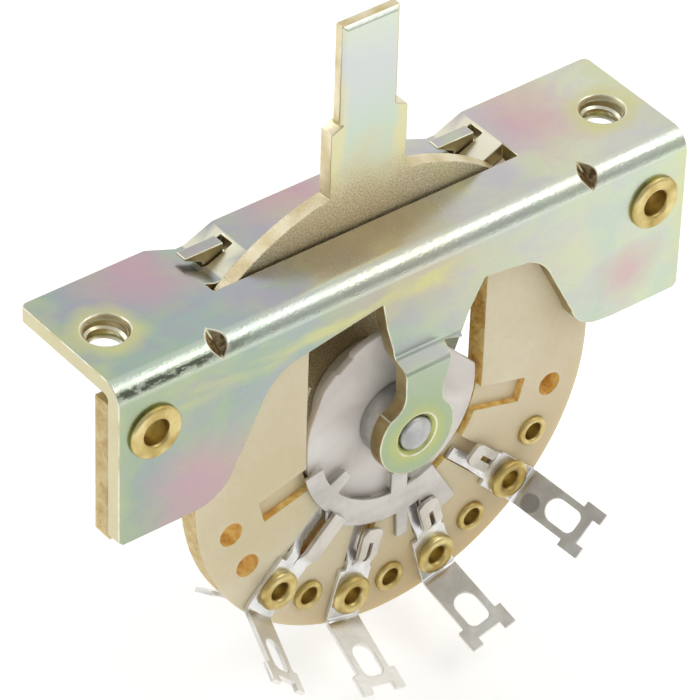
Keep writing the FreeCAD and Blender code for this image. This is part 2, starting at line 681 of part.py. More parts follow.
def lug(name, step, side, common):
    """Terminal: plate under its eyelet, bent solder tab and two spring fingers."""
    body = body_at_pivot(name, "%d * rivet_pitch" % -step)
    flip = -side
    rise = "lug_tab_length * sin(lug_tab_angle)"
    run = "lug_corner + lug_tab_length * cos(lug_tab_angle)"
    strip(body, name + "_plate", side, [
        ("lug_inner - 0.3", "0"),
        ("lug_bend", "0", "%d * lug_bend_radius" % flip),
        ("lug_bend + lug_bend_radius * sin(lug_tab_angle)", "lug_bend_radius * (1 - cos(lug_tab_angle))"),
        (run, rise),
        (run + " - lug_thickness * sin(lug_tab_angle)", rise + " + lug_thickness * cos(lug_tab_angle)"),
        ("lug_bend + lug_bend_inner * sin(lug_tab_angle)",
         "lug_bend_radius - lug_bend_inner * cos(lug_tab_angle)", "%d * lug_bend_inner" % -flip),
        ("lug_bend", "lug_thickness"),
        ("lug_inner - 0.3", "lug_thickness"),
    ], "lug_width")

    tip = tab_sketch(body, name + "_tip_outline", side)
    box_outline(tip, "-lug_tip_width / 2", "lug_tip_width / 2", "-lug_tab_length", "-lug_tip_start")
    pad(body, name + "_tip", tip, "lug_thickness", reverse=side < 0)
    cuts = tab_sketch(body, name + "_tab_cuts", side)
    box_outline(cuts, "-lug_notch_width / 2", "lug_notch_width / 2", "-lug_tab_length - 0.5", "-lug_notch_start")
    corner = "lug_hole_width * 0.32"
    outline(cuts, [
        ("-lug_hole_width / 2", "-lug_hole_start - lug_hole_width / 2"),
        ("-lug_hole_width / 2", "-lug_hole_end + " + corner, corner),
        ("-lug_hole_width / 2 + " + corner, "-lug_hole_end"),
        ("lug_hole_width / 2 - " + corner, "-lug_hole_end", corner),
        ("lug_hole_width / 2", "-lug_hole_end + " + corner),
        ("lug_hole_width / 2", "-lug_hole_start - lug_hole_width / 2", "lug_hole_width / 2"),
        ("0", "-lug_hole_start", "lug_hole_width / 2"),
    ])
    pocket(body, name + "_cut_tab", cuts, "lug_thickness * 4", both_ways=True)

    over_width = "common_finger_width" if common else "finger_width"
    over_offset = "common_finger_offset" if common else "finger_offset"
    over_reach = "common_finger_reach" if common else "finger_reach"
    strip(body, name + "_finger", side, [
        ("lug_inner", "0"),
        ("lug_inner", "lug_thickness"),
        ("lug_inner - 0.6", "lug_thickness"),
        ("lug_inner - 1.4", "finger_lift + lug_thickness"),
        (over_reach, "finger_lift + lug_thickness"),
        (over_reach, "finger_lift"),
        ("lug_inner - 1.3", "finger_lift"),
        ("lug_inner - 0.5", "0"),
    ], over_width, over_offset)
    strip(body, name + "_under_finger", side, [
        ("lug_inner", "0"),
        ("lug_inner", "lug_thickness"),
        ("recess_outer - 0.1", "lug_thickness"),
        ("recess_outer - 0.95", "lug_thickness - 0.45"),
        ("under_finger_reach", "lug_thickness - 0.45"),
        ("under_finger_reach", "-0.45"),
        ("recess_outer - 0.95", "-0.45"),
        ("recess_outer - 0.1", "0"),
    ], "under_finger_width", "under_finger_offset")
    if not common:
        relief = sketch_on(body, name + "_relief_outline", "XZ_Plane", "-wafer_middle")
        at = over_offset + " - finger_slot_width / 2"
        box_outline(relief, at, at + " + finger_slot_width", "-lug_inner + 0.9", "-finger_reach - 1.1")
        pocket(body, name + "_relief", relief, "3", reverse=side > 0)

        def head_corner(edge):
            at = middle(edge)
            ends = [v.Point for v in edge.Vertexes]
            through = len(ends) == 2 and abs(ends[0].y - ends[1].y) > value("lug_thickness") * 0.9
            return through and abs(at.z + value("finger_reach")) < 0.01
        soften(body, name + "_head", "finger_width * 0.36", head_corner)

    hole = sketch_on(body, name + "_eyelet_hole", "XZ_Plane", "-wafer_middle")
    ring_at(hole, "0", "-rivet_circle", "rivet_hole_radius")
    pocket(body, name + "_cut_eyelet_hole", hole, "3", reverse=side > 0)
    return body


def tab_sketch(body, name, side):
    """Sketch in the plane of the tab's outer skin; its Y runs back to the bend."""
    sketch = body.newObject("Sketcher::SketchObject", name)
    sketch.AttachmentSupport = [(plane_of(body, "XZ_Plane"), "")]
    sketch.MapMode = "FlatFace"
    lean = FreeCAD.Rotation(FreeCAD.Vector(-side, 0, 0), value("lug_tab_angle"))
    sketch.AttachmentOffset = FreeCAD.Placement(FreeCAD.Vector(), lean)
    drive(sketch, "AttachmentOffset.Rotation.Angle", "lug_tab_angle")
    drive(sketch, "AttachmentOffset.Base.y", "-lug_corner")
    drive(sketch, "AttachmentOffset.Base.z", "-(%s)" % across(side, "0"))
    return sketch


# The turning parts

def polar(radius, angle):
    """Point about the pivot, its angle counted from straight down towards +X."""
    return ("(%s) * sin(%s)" % (radius, angle), "-(%s) * cos(%s)" % (radius, angle))


def rotor():
    """Moulded rotor: thin front plate, pads under both blades and a rear hub."""
    body = body_at_pivot("rotor")
    rim = "rotor_radius"
    high = "(rotor_radius + rotor_rim_step)"
    round_rim = ("-rotor_radius",)
    round_high = ("-" + high,)
    plate = sketch_on(body, "rotor_plate_outline", "XZ_Plane", "-rotor_front - rotor_plate")
    outline(plate, [
        polar(rim, "172") + round_rim,
        polar(rim, "60") + round_rim,
        polar(rim, "-60") + round_rim,
        polar(rim, "-107"),
        polar(high, "-128") + round_high,
        polar(high, "-139"),
        polar(rim, "-140") + round_rim,
        polar(rim, "-151"),
        polar(high, "-152") + round_high,
        polar(high, "-178"),
    ])
    pad(body, "rotor_plate_sheet", plate, "rotor_plate")
    flat = sketch_on(body, "rotor_flat_outline", "XZ_Plane", "-rotor_front - rotor_plate - 1")
    near = "rotor_flat / cos(45)"
    outline(flat, [(near, "0"), ("rotor_radius + 2", "0"), ("rotor_radius + 2", "rotor_radius + 2"),
                   ("0", "rotor_radius + 2"), ("0", near)])
    pocket(body, "cut_rotor_flat", flat, "rotor_plate + 2", reverse=True)

    inner = "(blade_inner + 0.1)"
    outer = "(rotor_radius - 0.1)"
    half = "(rotor_pad_width / 2)"

    def blade_pads(sketch):
        for turn in ("-68", "-38", "-8", "22"):
            outline(sketch, [
                ("%s * sin(%s) %s %s * cos(%s)" % (reach, turn, side, half, turn),
                 "-%s * cos(%s) %s %s * sin(%s)" % (reach, turn, side, half, turn))
                for reach, side in ((inner, "-"), (outer, "-"), (outer, "+"), (inner, "+"))])
    front_pads = sketch_on(body, "rotor_front_pads", "XZ_Plane", "-rotor_front")
    blade_pads(front_pads)
    near_hook = "blade_hook_reach + 0.1"
    under_ring = "blade_inner - 0.1"
    for first, last in (("-59", "-52"), ("-2", "8")):
        outline(front_pads, [
            polar(near_hook, first), polar(under_ring, first), polar(under_ring, last), polar(near_hook, last),
        ])
    pad(body, "front_pads", front_pads, "rotor_recess + blade_gap")
    back_pads = sketch_on(body, "rotor_back_pads", "XZ_Plane", "-rotor_front - rotor_plate")
    blade_pads(back_pads)
    pad(body, "back_pads", back_pads, "wafer_back + blade_gap - rotor_front - rotor_plate", reverse=True)
    hub = sketch_on(body, "rotor_hub_outline", "XZ_Plane", "-rotor_front - rotor_plate")
    ring_at(hub, "0", "0", "rotor_hub_radius")
    pad(body, "rotor_hub", hub, "lever_front - rotor_front - rotor_plate", reverse=True)
    key = sketch_on(body, "rotor_key_outline", "XZ_Plane", "-lever_front - 1")
    double_d(key)
    pocket(body, "cut_rotor_key", key, "lever_front - rotor_front + 2", reverse=True)
    return body


def double_d(sketch, slack="rivet_clearance"):
    """Round hole with two flats, about the pivot."""
    radius = "(shaft_radius + %s)" % slack
    half = "(shaft_across_flats / 2 + %s)" % slack
    rise = "sqrt(%s ^ 2 - %s ^ 2)" % (radius, half)
    outline(sketch, [
        (half, rise, radius), ("-" + half, rise),
        ("-" + half, "-" + rise, radius), (half, "-" + rise),
    ])


def contact_blade(name, face, way):
    """Ring-arc contact: open at the top, a broad tab and a narrow tab outwards."""
    body = body_at_pivot(name)
    sketch = sketch_on(body, name + "_outline", "XZ_Plane", "-(%s)" % face)

    inner = "blade_inner"
    out = "blade_outer"
    reach = "blade_tab_reach"
    hook = "blade_hook_reach"
    outline(sketch, [
        polar(inner, "-77.5") + (inner,),
        polar(inner, "-61"),
        polar(hook, "-61"),
        polar(hook, "-51"),
        polar(inner, "-50") + (inner,),
        polar(inner, "-3"),
        ("-0.3", "-4.7"),
        ("1.05", "-4.7"),
        polar(inner, "9.5") + (inner,),
        polar(inner, "30"),
        polar(reach, "30") + ("-blade_tab_reach",),
        polar(reach, "15"),
        polar(out, "15") + ("-blade_outer",),
        polar(out, "8.5"),
        polar(reach, "6.5"),
        polar(reach, "1.8"),
        polar(out, "1.5") + ("-blade_outer",),
        polar(out, "-44"),
        polar("blade_heel", "-47") + ("-blade_heel",),
        polar("blade_heel", "-77.5"),
    ])
    pad(body, name + "_sheet", sketch, "blade_thickness", reverse=way > 0)
    return body


def shaft():
    """Turned pin: front journal, flats through rotor and lever, rear ring groove."""
    body = body_at_pivot("shaft")
    profile = sketch_on(body, "shaft_section", "XY_Plane")
    outline(profile, [
        ("0", "arm_front"),
        ("shaft_radius - 0.12", "arm_front"),
        ("shaft_radius", "arm_front + 0.12"),
        ("shaft_radius", "frame_front + seat_gap"),
        ("shaft_collar_radius", "frame_front + seat_gap"),
        ("shaft_collar_radius", "rotor_front - seat_gap"),
        ("shaft_radius", "rotor_front - seat_gap"),
        ("shaft_radius", "ring_front"),
        ("groove_radius", "ring_front"),
        ("groove_radius", "ring_front + ring_thickness"),
        ("shaft_radius", "ring_front + ring_thickness"),
        ("shaft_radius", "shaft_end"),
        ("0", "shaft_end"),
    ])
    spin(body, "shaft_turning", profile, "V_Axis")
    flats = sketch_on(body, "shaft_flats_outline", "XZ_Plane", "-lever_back")
    for sign in ("-", ""):
        box_outline(flats, sign + "shaft_across_flats / 2", sign + "(shaft_radius + 0.5)",
                    "-shaft_radius - 0.5", "shaft_radius + 0.5")
    pocket(body, "cut_shaft_flats", flats, "lever_back - rotor_front + seat_gap", reverse=True)
    return body


def lever():
    """Flat lever: narrow blade, wide root and the dust shield sector round the pivot."""
    body = body_at_pivot("lever")
    face = sketch_on(body, "lever_outline", "XZ_Plane", "-lever_back")
    root = "lever_root_width / 2"
    blade = "lever_blade_width / 2"
    meet = "sqrt(shield_radius ^ 2 - (%s) ^ 2)" % root
    outline(face, [
        ("-" + blade, "pivot_depth + lever_tip"),
        ("-" + blade, "pivot_depth + lever_shoulder"),
        ("-" + root, "pivot_depth + lever_shoulder - 0.3"),
        ("-" + root, meet, "shield_radius"),
        ("-shield_radius * sin(shield_angle)", "shield_radius * cos(shield_angle)"),
        ("-lever_hub_radius * sin(shield_angle + 8)", "lever_hub_radius * cos(shield_angle + 8)", "lever_hub_radius"),
        ("0", "-lever_hub_radius", "lever_hub_radius"),
        ("lever_hub_radius * sin(shield_angle + 8)", "lever_hub_radius * cos(shield_angle + 8)"),
        ("shield_radius * sin(shield_angle)", "shield_radius * cos(shield_angle)", "shield_radius"),
        (root, meet),
        (root, "pivot_depth + lever_shoulder - 0.3"),
        (blade, "pivot_depth + lever_shoulder"),
        (blade, "pivot_depth + lever_tip"),
    ])
    pad(body, "lever_sheet", face, "lever_thickness")

    def shield_point(edge):
        at = middle(edge)
        ends = [v.Point for v in edge.Vertexes]
        through = len(ends) == 2 and abs(ends[0].y - ends[1].y) > 0.5
        return through and abs(math.hypot(at.x, at.z) - value("shield_radius")) < 0.01 and abs(at.x) > value("shield_radius") / 2
    soften(body, "shield_points", "1.0", shield_point)

    def blade_edge(edge):
        at = middle(edge)
        ends = [v.Point for v in edge.Vertexes]
        flat = len(ends) == 2 and abs(ends[0].y - ends[1].y) < 0.01
        on_blade = at.z > value("pivot_depth + lever_shoulder + 0.1")
        return flat and on_blade
    soften(body, "blade_chamfer", "lever_chamfer", blade_edge, "PartDesign::Chamfer")
    detents = sketch_on(body, "detent_holes", "XZ_Plane", "-lever_back - 1")
    for step in (-1, 0, 1):
        turn = "%d * detent_pitch" % step
        ring_at(detents, "detent_circle * sin(%s)" % turn, "detent_circle * cos(%s)" % turn, "detent_hole_radius")
    pocket(body, "cut_detent_holes", detents, "lever_thickness + 2", reverse=True)
    key = sketch_on(body, "lever_key_outline", "XZ_Plane", "-lever_back - 1")
    double_d(key)
    pocket(body, "cut_lever_key", key, "lever_thickness + 2", reverse=True)
    return body


def spacer():
    """Sleeve that keeps the lever off the index plate."""
    body = body_at_pivot("spacer")
    face = sketch_on(body, "spacer_outline", "XZ_Plane", "-index_front + seat_gap")
    ring_at(face, "0", "0", "spacer_radius")
    ring_at(face, "0", "0", "shaft_radius + rivet_clearance")
    pad(body, "spacer_sleeve", face, "index_front - lever_back - seat_gap")
    return body


def retaining_ring():
    """Open ring snapped into the groove at the rear end of the shaft."""
    body = body_at_pivot("retaining_ring")
    face = sketch_on(body, "ring_outline", "XZ_Plane", "-ring_front")
    grip = "(groove_radius + rivet_clearance)"
    mouth = "0.8"
    inner = "sqrt(%s ^ 2 - %s ^ 2)" % (grip, mouth)
    outer = "sqrt(ring_outer ^ 2 - %s ^ 2)" % mouth
    outline(face, [
        (mouth, "-" + outer, "ring_outer"),
        ("0", "ring_outer", "ring_outer"),
        ("-" + mouth, "-" + outer),
        ("-" + mouth, "-" + inner, "-" + grip),
        ("0", grip, "-" + grip),
        (mouth, "-" + inner),
    ])
    pad(body, "ring_sheet", face, "ring_thickness", reverse=True)
    return body


# The index plate

def index_plate():
    """Rear plate hooked through the valleys; it carries the shaft and the detent."""
    body = doc.addObject("PartDesign::Body", "index_plate")
    face = sketch_on(body, "index_outline", "XZ_Plane", "-index_back")
    top = "-frame_thickness - seat_gap"
    low = "-frame_thickness - valley_depth - seat_gap"
    foot = "index_foot_radius"

    def hook(shift):
        right = "-hook_neck_right + " + shift
        left = "-hook_neck_left + " + shift
        over = "-hook_overhang + " + shift
        return [
            (right, low),
            (right, "hook_proud"),
            (over, "hook_proud"),
            (over, "-hook_proud * 0.2"),
            (left, "-valley_depth + 0.34"),
            (left, low),
        ]
    outline(face, [
        ("index_half_width", low),
    ] + hook("valley_pitch") + [
        ("-valley_end + valley_pitch - 6.0", low),
        ("-valley_end + valley_pitch - 6.7", top),
        ("-valley_end + 1.0", top),
        ("-valley_end + 0.4", low),
    ] + hook("0") + [
        ("-index_half_width", low),
        ("-index_half_width", low + " - 3.0"),
        ("-%s * cos(20)" % foot, "-pivot_depth - %s * sin(20)" % foot, foot),
        ("0", "-pivot_depth - " + foot, foot),
        ("%s * cos(20)" % foot, "-pivot_depth - %s * sin(20)" % foot),
        ("index_half_width", low + " - 3.0"),
    ])
    pad(body, "index_sheet", face, "index_thickness")
    bore = sketch_on(body, "index_bores", "XZ_Plane", "-index_back - 1")
    ring_at(bore, "0", "-pivot_depth", "shaft_bore")
    ring_at(bore, "-spring_rivet_x", "-pivot_depth + detent_circle", "spring_rivet_radius + rivet_clearance")
    pocket(body, "cut_index_bores", bore, "index_thickness + 2", reverse=True)
    return body


def detent_spring():
    """Leaf spring riveted to the index plate; its nib drops into the lever's holes."""
    body = doc.addObject("PartDesign::Body", "detent_leaf")
    drive(body, "Placement.Base.z", "-pivot_depth + detent_circle")
    side = sketch_on(body, "leaf_section", "XY_Plane")
    near = "(lever_back + 0.12)"
    thick = "spring_thickness"
    outline(side, [
        ("-spring_rivet_x - 1.6", "index_front"),
        ("-spring_rivet_x - 1.6", "index_front - " + thick),
        ("-spring_rivet_x + 1.9", "index_front - " + thick),
        ("-1.2", near),
        ("1.0", near),
        ("1.5", near + " + 0.3"),
        ("1.35", near + " + 0.3 + " + thick),
        ("0.9", near + " + " + thick),
        ("-1.1", near + " + " + thick),
        ("-spring_rivet_x + 2.0", "index_front"),
    ])
    pad(body, "leaf_strip", side, "spring_width", both_ways=True)
    hole = sketch_on(body, "leaf_rivet_outline", "XZ_Plane", "-index_front - 1")
    ring_at(hole, "-spring_rivet_x", "0", "spring_rivet_radius + rivet_clearance")
    pocket(body, "cut_leaf_hole", hole, "spring_thickness + 2", reverse=True)
    nib = doc.addObject("Part::Sphere", "detent_nib")
    drive(nib, "Radius", "nib_radius")
    drive(nib, "Placement.Base.y", near + " + 0.25")
    drive(nib, "Placement.Base.z", "-pivot_depth + detent_circle")
    keep = doc.addObject("Part::Box", "nib_room")
    drive(keep, "Length", "nib_radius * 3")
    drive(keep, "Height", "nib_radius * 3")
    drive(keep, "Width", "nib_radius * 2")
    drive(keep, "Placement.Base.x", "-nib_radius * 1.5")
    drive(keep, "Placement.Base.y", near + " + spring_thickness * 0.5 - nib_radius * 2")
    drive(keep, "Placement.Base.z", "-pivot_depth + detent_circle - nib_radius * 1.5")
    dome = doc.addObject("Part::Common", "nib_dome")
    dome.Base = nib
    dome.Tool = keep
    spring = doc.addObject("Part::Fuse", "detent_spring")
    spring.Base = body
    spring.Tool = dome
    spring.Refine = True
    doc.recompute()
    return spring


def detent_rivet():
    """Rivet through the leaf and the index plate, headed at both ends."""
    body = doc.addObject("PartDesign::Body", "detent_rivet")
    drive(body, "Placement.Base.x", "-spring_rivet_x")
    drive(body, "Placement.Base.z", "-pivot_depth + detent_circle")
    profile = sketch_on(body, "rivet_section", "XY_Plane")
    outline(profile, [
        ("0", "index_front - spring_thickness - spring_rivet_proud"),
        ("spring_rivet_head - 0.4", "index_front - spring_thickness - spring_rivet_proud"),
        ("spring_rivet_head", "index_front - spring_thickness"),
        ("spring_rivet_radius", "index_front - spring_thickness"),
        ("spring_rivet_radius", "index_back"),
        ("spring_rivet_head", "index_back"),
        ("spring_rivet_head - 0.4", "index_back + spring_rivet_proud"),
        ("0", "index_back + spring_rivet_proud"),
    ])
    spin(body, "rivet_turning", profile, "V_Axis")
    return body


# Building every piece and writing its file

fill_sheet()
nodes["frame_bracket"] = frame_bracket()
nodes["wafer"] = wafer()
for label, sign in (("left", "-"), ("right", "")):
    nodes["frame_eyelet_" + label] = eyelet(
        "frame_eyelet_" + label, sign + "frame_eyelet_x", "-frame_eyelet_depth", "frame_eyelet_bore",
        "frame_eyelet_radius", "frame_eyelet_flange", "frame_eyelet_flange - 0.25",
        "frame_front", "frame_eyelet_proud", "wafer_back", "frame_eyelet_proud")
front_steps = (-3, -1, 1, 3)
back_steps = (-2, 0, 2, 4)
for side, label, steps in ((1, "front", front_steps), (-1, "back", back_steps)):
    plate = across(side, "lug_thickness")
    tail = across(-side, "0")
    for number, step in enumerate(steps, 1):
        name = "lug_%s_%d" % (label, number)
        nodes[name] = lug(name, step, side, common=number == 1)
        name = "lug_eyelet_%s_%d" % (label, number)
        turn = "(%d * rivet_pitch)" % step
        nodes[name] = eyelet(
            name, "rivet_circle * sin(%s)" % turn, "-pivot_depth - rivet_circle * cos(%s)" % turn,
            "lug_eyelet_bore", "rivet_hole_radius - rivet_clearance", "lug_eyelet_flange", "lug_tail_radius",
            plate, "lug_eyelet_proud", tail, "lug_tail_proud")
nodes["rotor"] = rotor()
nodes["contact_blade_front"] = contact_blade("contact_blade_front", "wafer_front - blade_gap", -1)
nodes["contact_blade_back"] = contact_blade("contact_blade_back", "wafer_back + blade_gap", 1)
nodes["shaft"] = shaft()
nodes["lever"] = lever()
nodes["spacer"] = spacer()
nodes["retaining_ring"] = retaining_ring()
nodes["index_plate"] = index_plate()
nodes["detent_spring"] = detent_spring()
nodes["detent_rivet"] = detent_rivet()
doc.recompute()

for thing in doc.Objects:
    if "Invalid" in thing.State or "Error" in thing.State:
        raise RuntimeError("not built: " + thing.Name)
for name, thing in nodes.items():
    shape = thing.Shape
    if shape.isNull() or not shape.isValid() or not shape.Solids:
        raise RuntimeError("bad shape: " + name)
    shape.exportStep("parts/%s.step" % name)
    print(name, len(shape.Solids), round(shape.Volume, 2))
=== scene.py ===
import bpy
import json
import math
from mathutils import Matrix, Vector


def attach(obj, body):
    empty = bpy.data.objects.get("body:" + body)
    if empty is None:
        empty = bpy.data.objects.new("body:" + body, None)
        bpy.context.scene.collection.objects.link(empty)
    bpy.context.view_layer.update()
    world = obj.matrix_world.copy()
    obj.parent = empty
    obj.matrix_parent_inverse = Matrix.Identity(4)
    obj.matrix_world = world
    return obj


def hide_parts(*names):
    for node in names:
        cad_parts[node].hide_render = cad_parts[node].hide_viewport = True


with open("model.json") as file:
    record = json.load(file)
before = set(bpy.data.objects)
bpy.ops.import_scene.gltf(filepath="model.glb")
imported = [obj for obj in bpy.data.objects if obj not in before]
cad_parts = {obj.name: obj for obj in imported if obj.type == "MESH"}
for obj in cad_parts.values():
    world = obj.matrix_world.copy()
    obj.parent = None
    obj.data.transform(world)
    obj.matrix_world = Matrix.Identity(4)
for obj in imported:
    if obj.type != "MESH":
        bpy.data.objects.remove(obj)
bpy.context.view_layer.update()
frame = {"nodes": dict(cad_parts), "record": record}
nodes = frame["nodes"]
screw_holes = next(mount["dims"] for mount in frame["record"]["mounts"] if mount["kind"] == "bolt_pattern")

MM = 0.001

# Sizes and places in mm, on the frame's axes

SCREW_SPACING = screw_holes["spacing_x_mm"]
SCREW_BORE = screw_holes["hole_r_mm"]
PIVOT_DEPTH = 14.1
SHEET = 1.2
FLANGE_FRONT = -5.6
WAFER_FRONT = FLANGE_FRONT + SHEET
WAFER_BACK = -2.8
WAFER_MIDDLE = (WAFER_FRONT + WAFER_BACK) / 2
RIVET_CIRCLE = 14.1
LUG_SHEET = 0.35
VALLEY_START = 13.8
DART_PLACE = (15.4, -4.8, -0.8)
EYE_PLACE = (0, -6.5, -PIVOT_DEPTH)
FRAME_EYELET_PLACE = (20.85, -4.5)
FRAME_EYELET = {"bore": 0.98, "barrel": 1.25, "flange": 2.0, "tail": 1.75, "proud": 0.42, "tail_proud": 0.42}
LUG_EYELET = {"bore": 0.67, "barrel": 0.88, "flange": 1.52, "tail": 1.15, "proud": 0.6, "tail_proud": 0.35}
# Centre of the painted shade in a lug tab's dimple
DIMPLE_SHADE_PLACE = (11.47, -5.75, -26.55)
THREAD_PITCH = 0.794
THREAD_START = -1.8
RIDGE_RADIUS = 0.26
USUAL_ROUNDING = 0.05
ROUNDING = {"lever": 0.08, "rotor": 0.1, "wafer": 0.03, "frame_bracket": 0.07, "index_plate": 0.07}
WELD_REACH = 0.002
MERGE_REACH = 0.0005
FLOOR_LEVEL = -34.5
LAMP_AIM = -8
CAMERA_PLACE = (-174.23, -214.72, 209.39)
CAMERA_LENS = 270.9

# Angles in degrees, a direction and a count

RIVET_PITCH = 15
THREAD_DEGREES = 600
CAMERA_ROLL = 2.04
CAMERA_AIM = (0.49158, 0.60763, -0.62381)
THREAD_STEPS = 80


def tone(red, green, blue):
    """Linear colour of a screen colour given from 0 to 255."""
    def straight(channel):
        value = channel / 255
        return value / 12.92 if value <= 0.04045 else ((value + 0.055) / 1.055) ** 2.4
    return (straight(red), straight(green), straight(blue), 1.0)


# Node helpers

def node(tree, kind, **settings):
    """New node with its settings."""
    made = tree.nodes.new(kind)
    for name, setting in settings.items():
        setattr(made, name, setting)
    return made


def feed(tree, socket, source):
    """Link an output, or set a plain value."""
    if isinstance(source, bpy.types.NodeSocket):
        tree.links.new(source, socket)
    else:
        socket.default_value = source


def place(tree, stretch=(1, 1, 1), shift=(0, 0, 0)):
    """Object coordinates, stretched and shifted."""
    coordinates = node(tree, "ShaderNodeTexCoord")
    mapping = node(tree, "ShaderNodeMapping")
    mapping.inputs["Scale"].default_value = stretch
    mapping.inputs["Location"].default_value = shift
    tree.links.new(coordinates.outputs["Object"], mapping.inputs["Vector"])
    return mapping.outputs["Vector"]


def noise(tree, scale, detail=3.0, roughness=0.5, distortion=0.0, vector=None):
    """Noise from 0 to 1; a scale of 1000 has features of about a millimetre."""
    made = node(tree, "ShaderNodeTexNoise")
    made.inputs["Scale"].default_value = scale
    made.inputs["Detail"].default_value = detail
    made.inputs["Roughness"].default_value = roughness
    made.inputs["Distortion"].default_value = distortion
    tree.links.new(vector or place(tree), made.inputs["Vector"])
    return made.outputs["Fac"]


def ramp(tree, source, *stops):
    """Colour ramp from (position, colour) stops."""
    made = node(tree, "ShaderNodeValToRGB")
    band = made.color_ramp
    while len(band.elements) < len(stops):
        band.elements.new(0.5)
    for element, (position, colour) in zip(band.elements, stops):
        element.position = position
        element.color = colour
    tree.links.new(source, made.inputs["Fac"])
    return made.outputs["Color"]


def spread(tree, source, low, high, to_low=0.0, to_high=1.0):
    """Map a value from one range to another, clamped."""
    made = node(tree, "ShaderNodeMapRange")
    tree.links.new(source, made.inputs["Value"])
    made.inputs["From Min"].default_value = low
    made.inputs["From Max"].default_value = high
    made.inputs["To Min"].default_value = to_low
    made.inputs["To Max"].default_value = to_high
    return made.outputs["Result"]


def blend(tree, factor, first, second):
    """Colour between two, by a factor."""
    made = node(tree, "ShaderNodeMix", data_type="RGBA")
    feed(tree, made.inputs["Factor"], factor)
    colours = [socket for socket in made.inputs if socket.type == "RGBA"]
    feed(tree, colours[0], first)
    feed(tree, colours[1], second)
    return next(socket for socket in made.outputs if socket.type == "RGBA")


def arithmetic(tree, how, first, second=0.0):
    """Sum, product or other operation on one or two values."""
    made = node(tree, "ShaderNodeMath", operation=how)
    feed(tree, made.inputs[0], first)
    feed(tree, made.inputs[1], second)
    return made.outputs[0]


def relief(tree, height, strength, distance, normal=None):
    """Bumped normal from a height: the distance is in metres."""
    made = node(tree, "ShaderNodeBump")
    made.inputs["Strength"].default_value = strength
    made.inputs["Distance"].default_value = distance
    tree.links.new(height, made.inputs["Height"])
    if normal:
        tree.links.new(normal, made.inputs["Normal"])
    return made.outputs["Normal"]


def finish_of(name, colour, metallic=0.0, roughness=0.5, **sockets):
    """New material with its shader; further sockets by name with _ for spaces."""
    material = bpy.data.materials.new(name)
    material.use_nodes = True
    tree = material.node_tree
    shader = tree.nodes["Principled BSDF"]
    shader.inputs["Base Color"].default_value = colour
    shader.inputs["Metallic"].default_value = metallic
    shader.inputs["Roughness"].default_value = roughness
    for socket, setting in sockets.items():
        shader.inputs[socket.replace("_", " ")].default_value = setting
    return material, tree, shader


def axes(tree, output="Object"):
    """The three object coordinates, or with Normal the surface's three directions."""
    coordinates = node(tree, "ShaderNodeTexCoord")
    split = node(tree, "ShaderNodeSeparateXYZ")
    tree.links.new(coordinates.outputs[output], split.inputs[0])
    return split.outputs


def facing(tree, axis):
    """How far the surface faces along an object axis, from 0 to 1."""
    return arithmetic(tree, "ABSOLUTE", axes(tree, "Normal")[axis])


def both(tree, first, second):
    """Mask where two masks meet, or a mask weakened by a number."""
    return arithmetic(tree, "MULTIPLY", first, second)


def either(tree, first, second):
    """Mask where at least one of two masks is."""
    return arithmetic(tree, "MAXIMUM", first, second)


def outward(tree, along):
    """How far from the middle, on either side."""
    return arithmetic(tree, "ABSOLUTE", along)


def rest_of(tree, mask):
    """Mask where another mask isn't."""
    return arithmetic(tree, "SUBTRACT", 1.0, mask)


def near(tree, centre, radius, fade, wobble=0.0):
    """Mask of 1 round a point, fading to 0: centre, radius, fade and wobble in mm."""
    away = node(tree, "ShaderNodeVectorMath", operation="LENGTH")
    tree.links.new(place(tree, shift=tuple(-part * MM for part in centre)), away.inputs[0])
    distance = away.outputs["Value"]
    if wobble:
        wave = spread(tree, noise(tree, 260, 3.0), 0.3, 0.7, -wobble * MM, wobble * MM)
        distance = arithmetic(tree, "ADD", distance, wave)
    return spread(tree, distance, radius * MM, (radius + fade) * MM, 1.0, 0.0)


def group_of(name, outputs, inputs):
    """Empty node group with number inputs and outputs."""
    made = bpy.data.node_groups.new(name, "ShaderNodeTree")
    for label, number in inputs:
        socket = made.interface.new_socket(label, in_out="INPUT", socket_type="NodeSocketFloat")
        socket.default_value = number
    for label in outputs:
        made.interface.new_socket(label, in_out="OUTPUT", socket_type="NodeSocketFloat")
    return made, made.nodes.new("NodeGroupInput"), made.nodes.new("NodeGroupOutput")


def grain_group():
    """Fine grain, broad cloudiness and scratches that every metal here shares."""
    made, given, put = group_of("metal_grain", ("Grain", "Cloud", "Scratches"),
                                (("Grain Scale", 2500), ("Cloud Scale", 120)))
    for output, scale, detail, stretch in (("Grain", "Grain Scale", 4, (1, 1, 1)),
                                           ("Cloud", "Cloud Scale", 3, (1, 1, 1)),
                                           ("Scratches", "Grain Scale", 2, (0.04, 0.6, 1))):
        texture = made.nodes.new("ShaderNodeTexNoise")
        texture.inputs["Detail"].default_value = detail
        made.links.new(given.outputs[scale], texture.inputs["Scale"])
        made.links.new(place(made, stretch), texture.inputs["Vector"])
        made.links.new(texture.outputs["Fac"], put.inputs[output])
    return made


def use_group(tree, group, **values):
    """The group's node in a material, with its inputs set."""
    made = node(tree, "ShaderNodeGroup", node_tree=group)
    for name, number in values.items():
        made.inputs[name.replace("_", " ")].default_value = number
    return made


# Finishes

grain = grain_group()


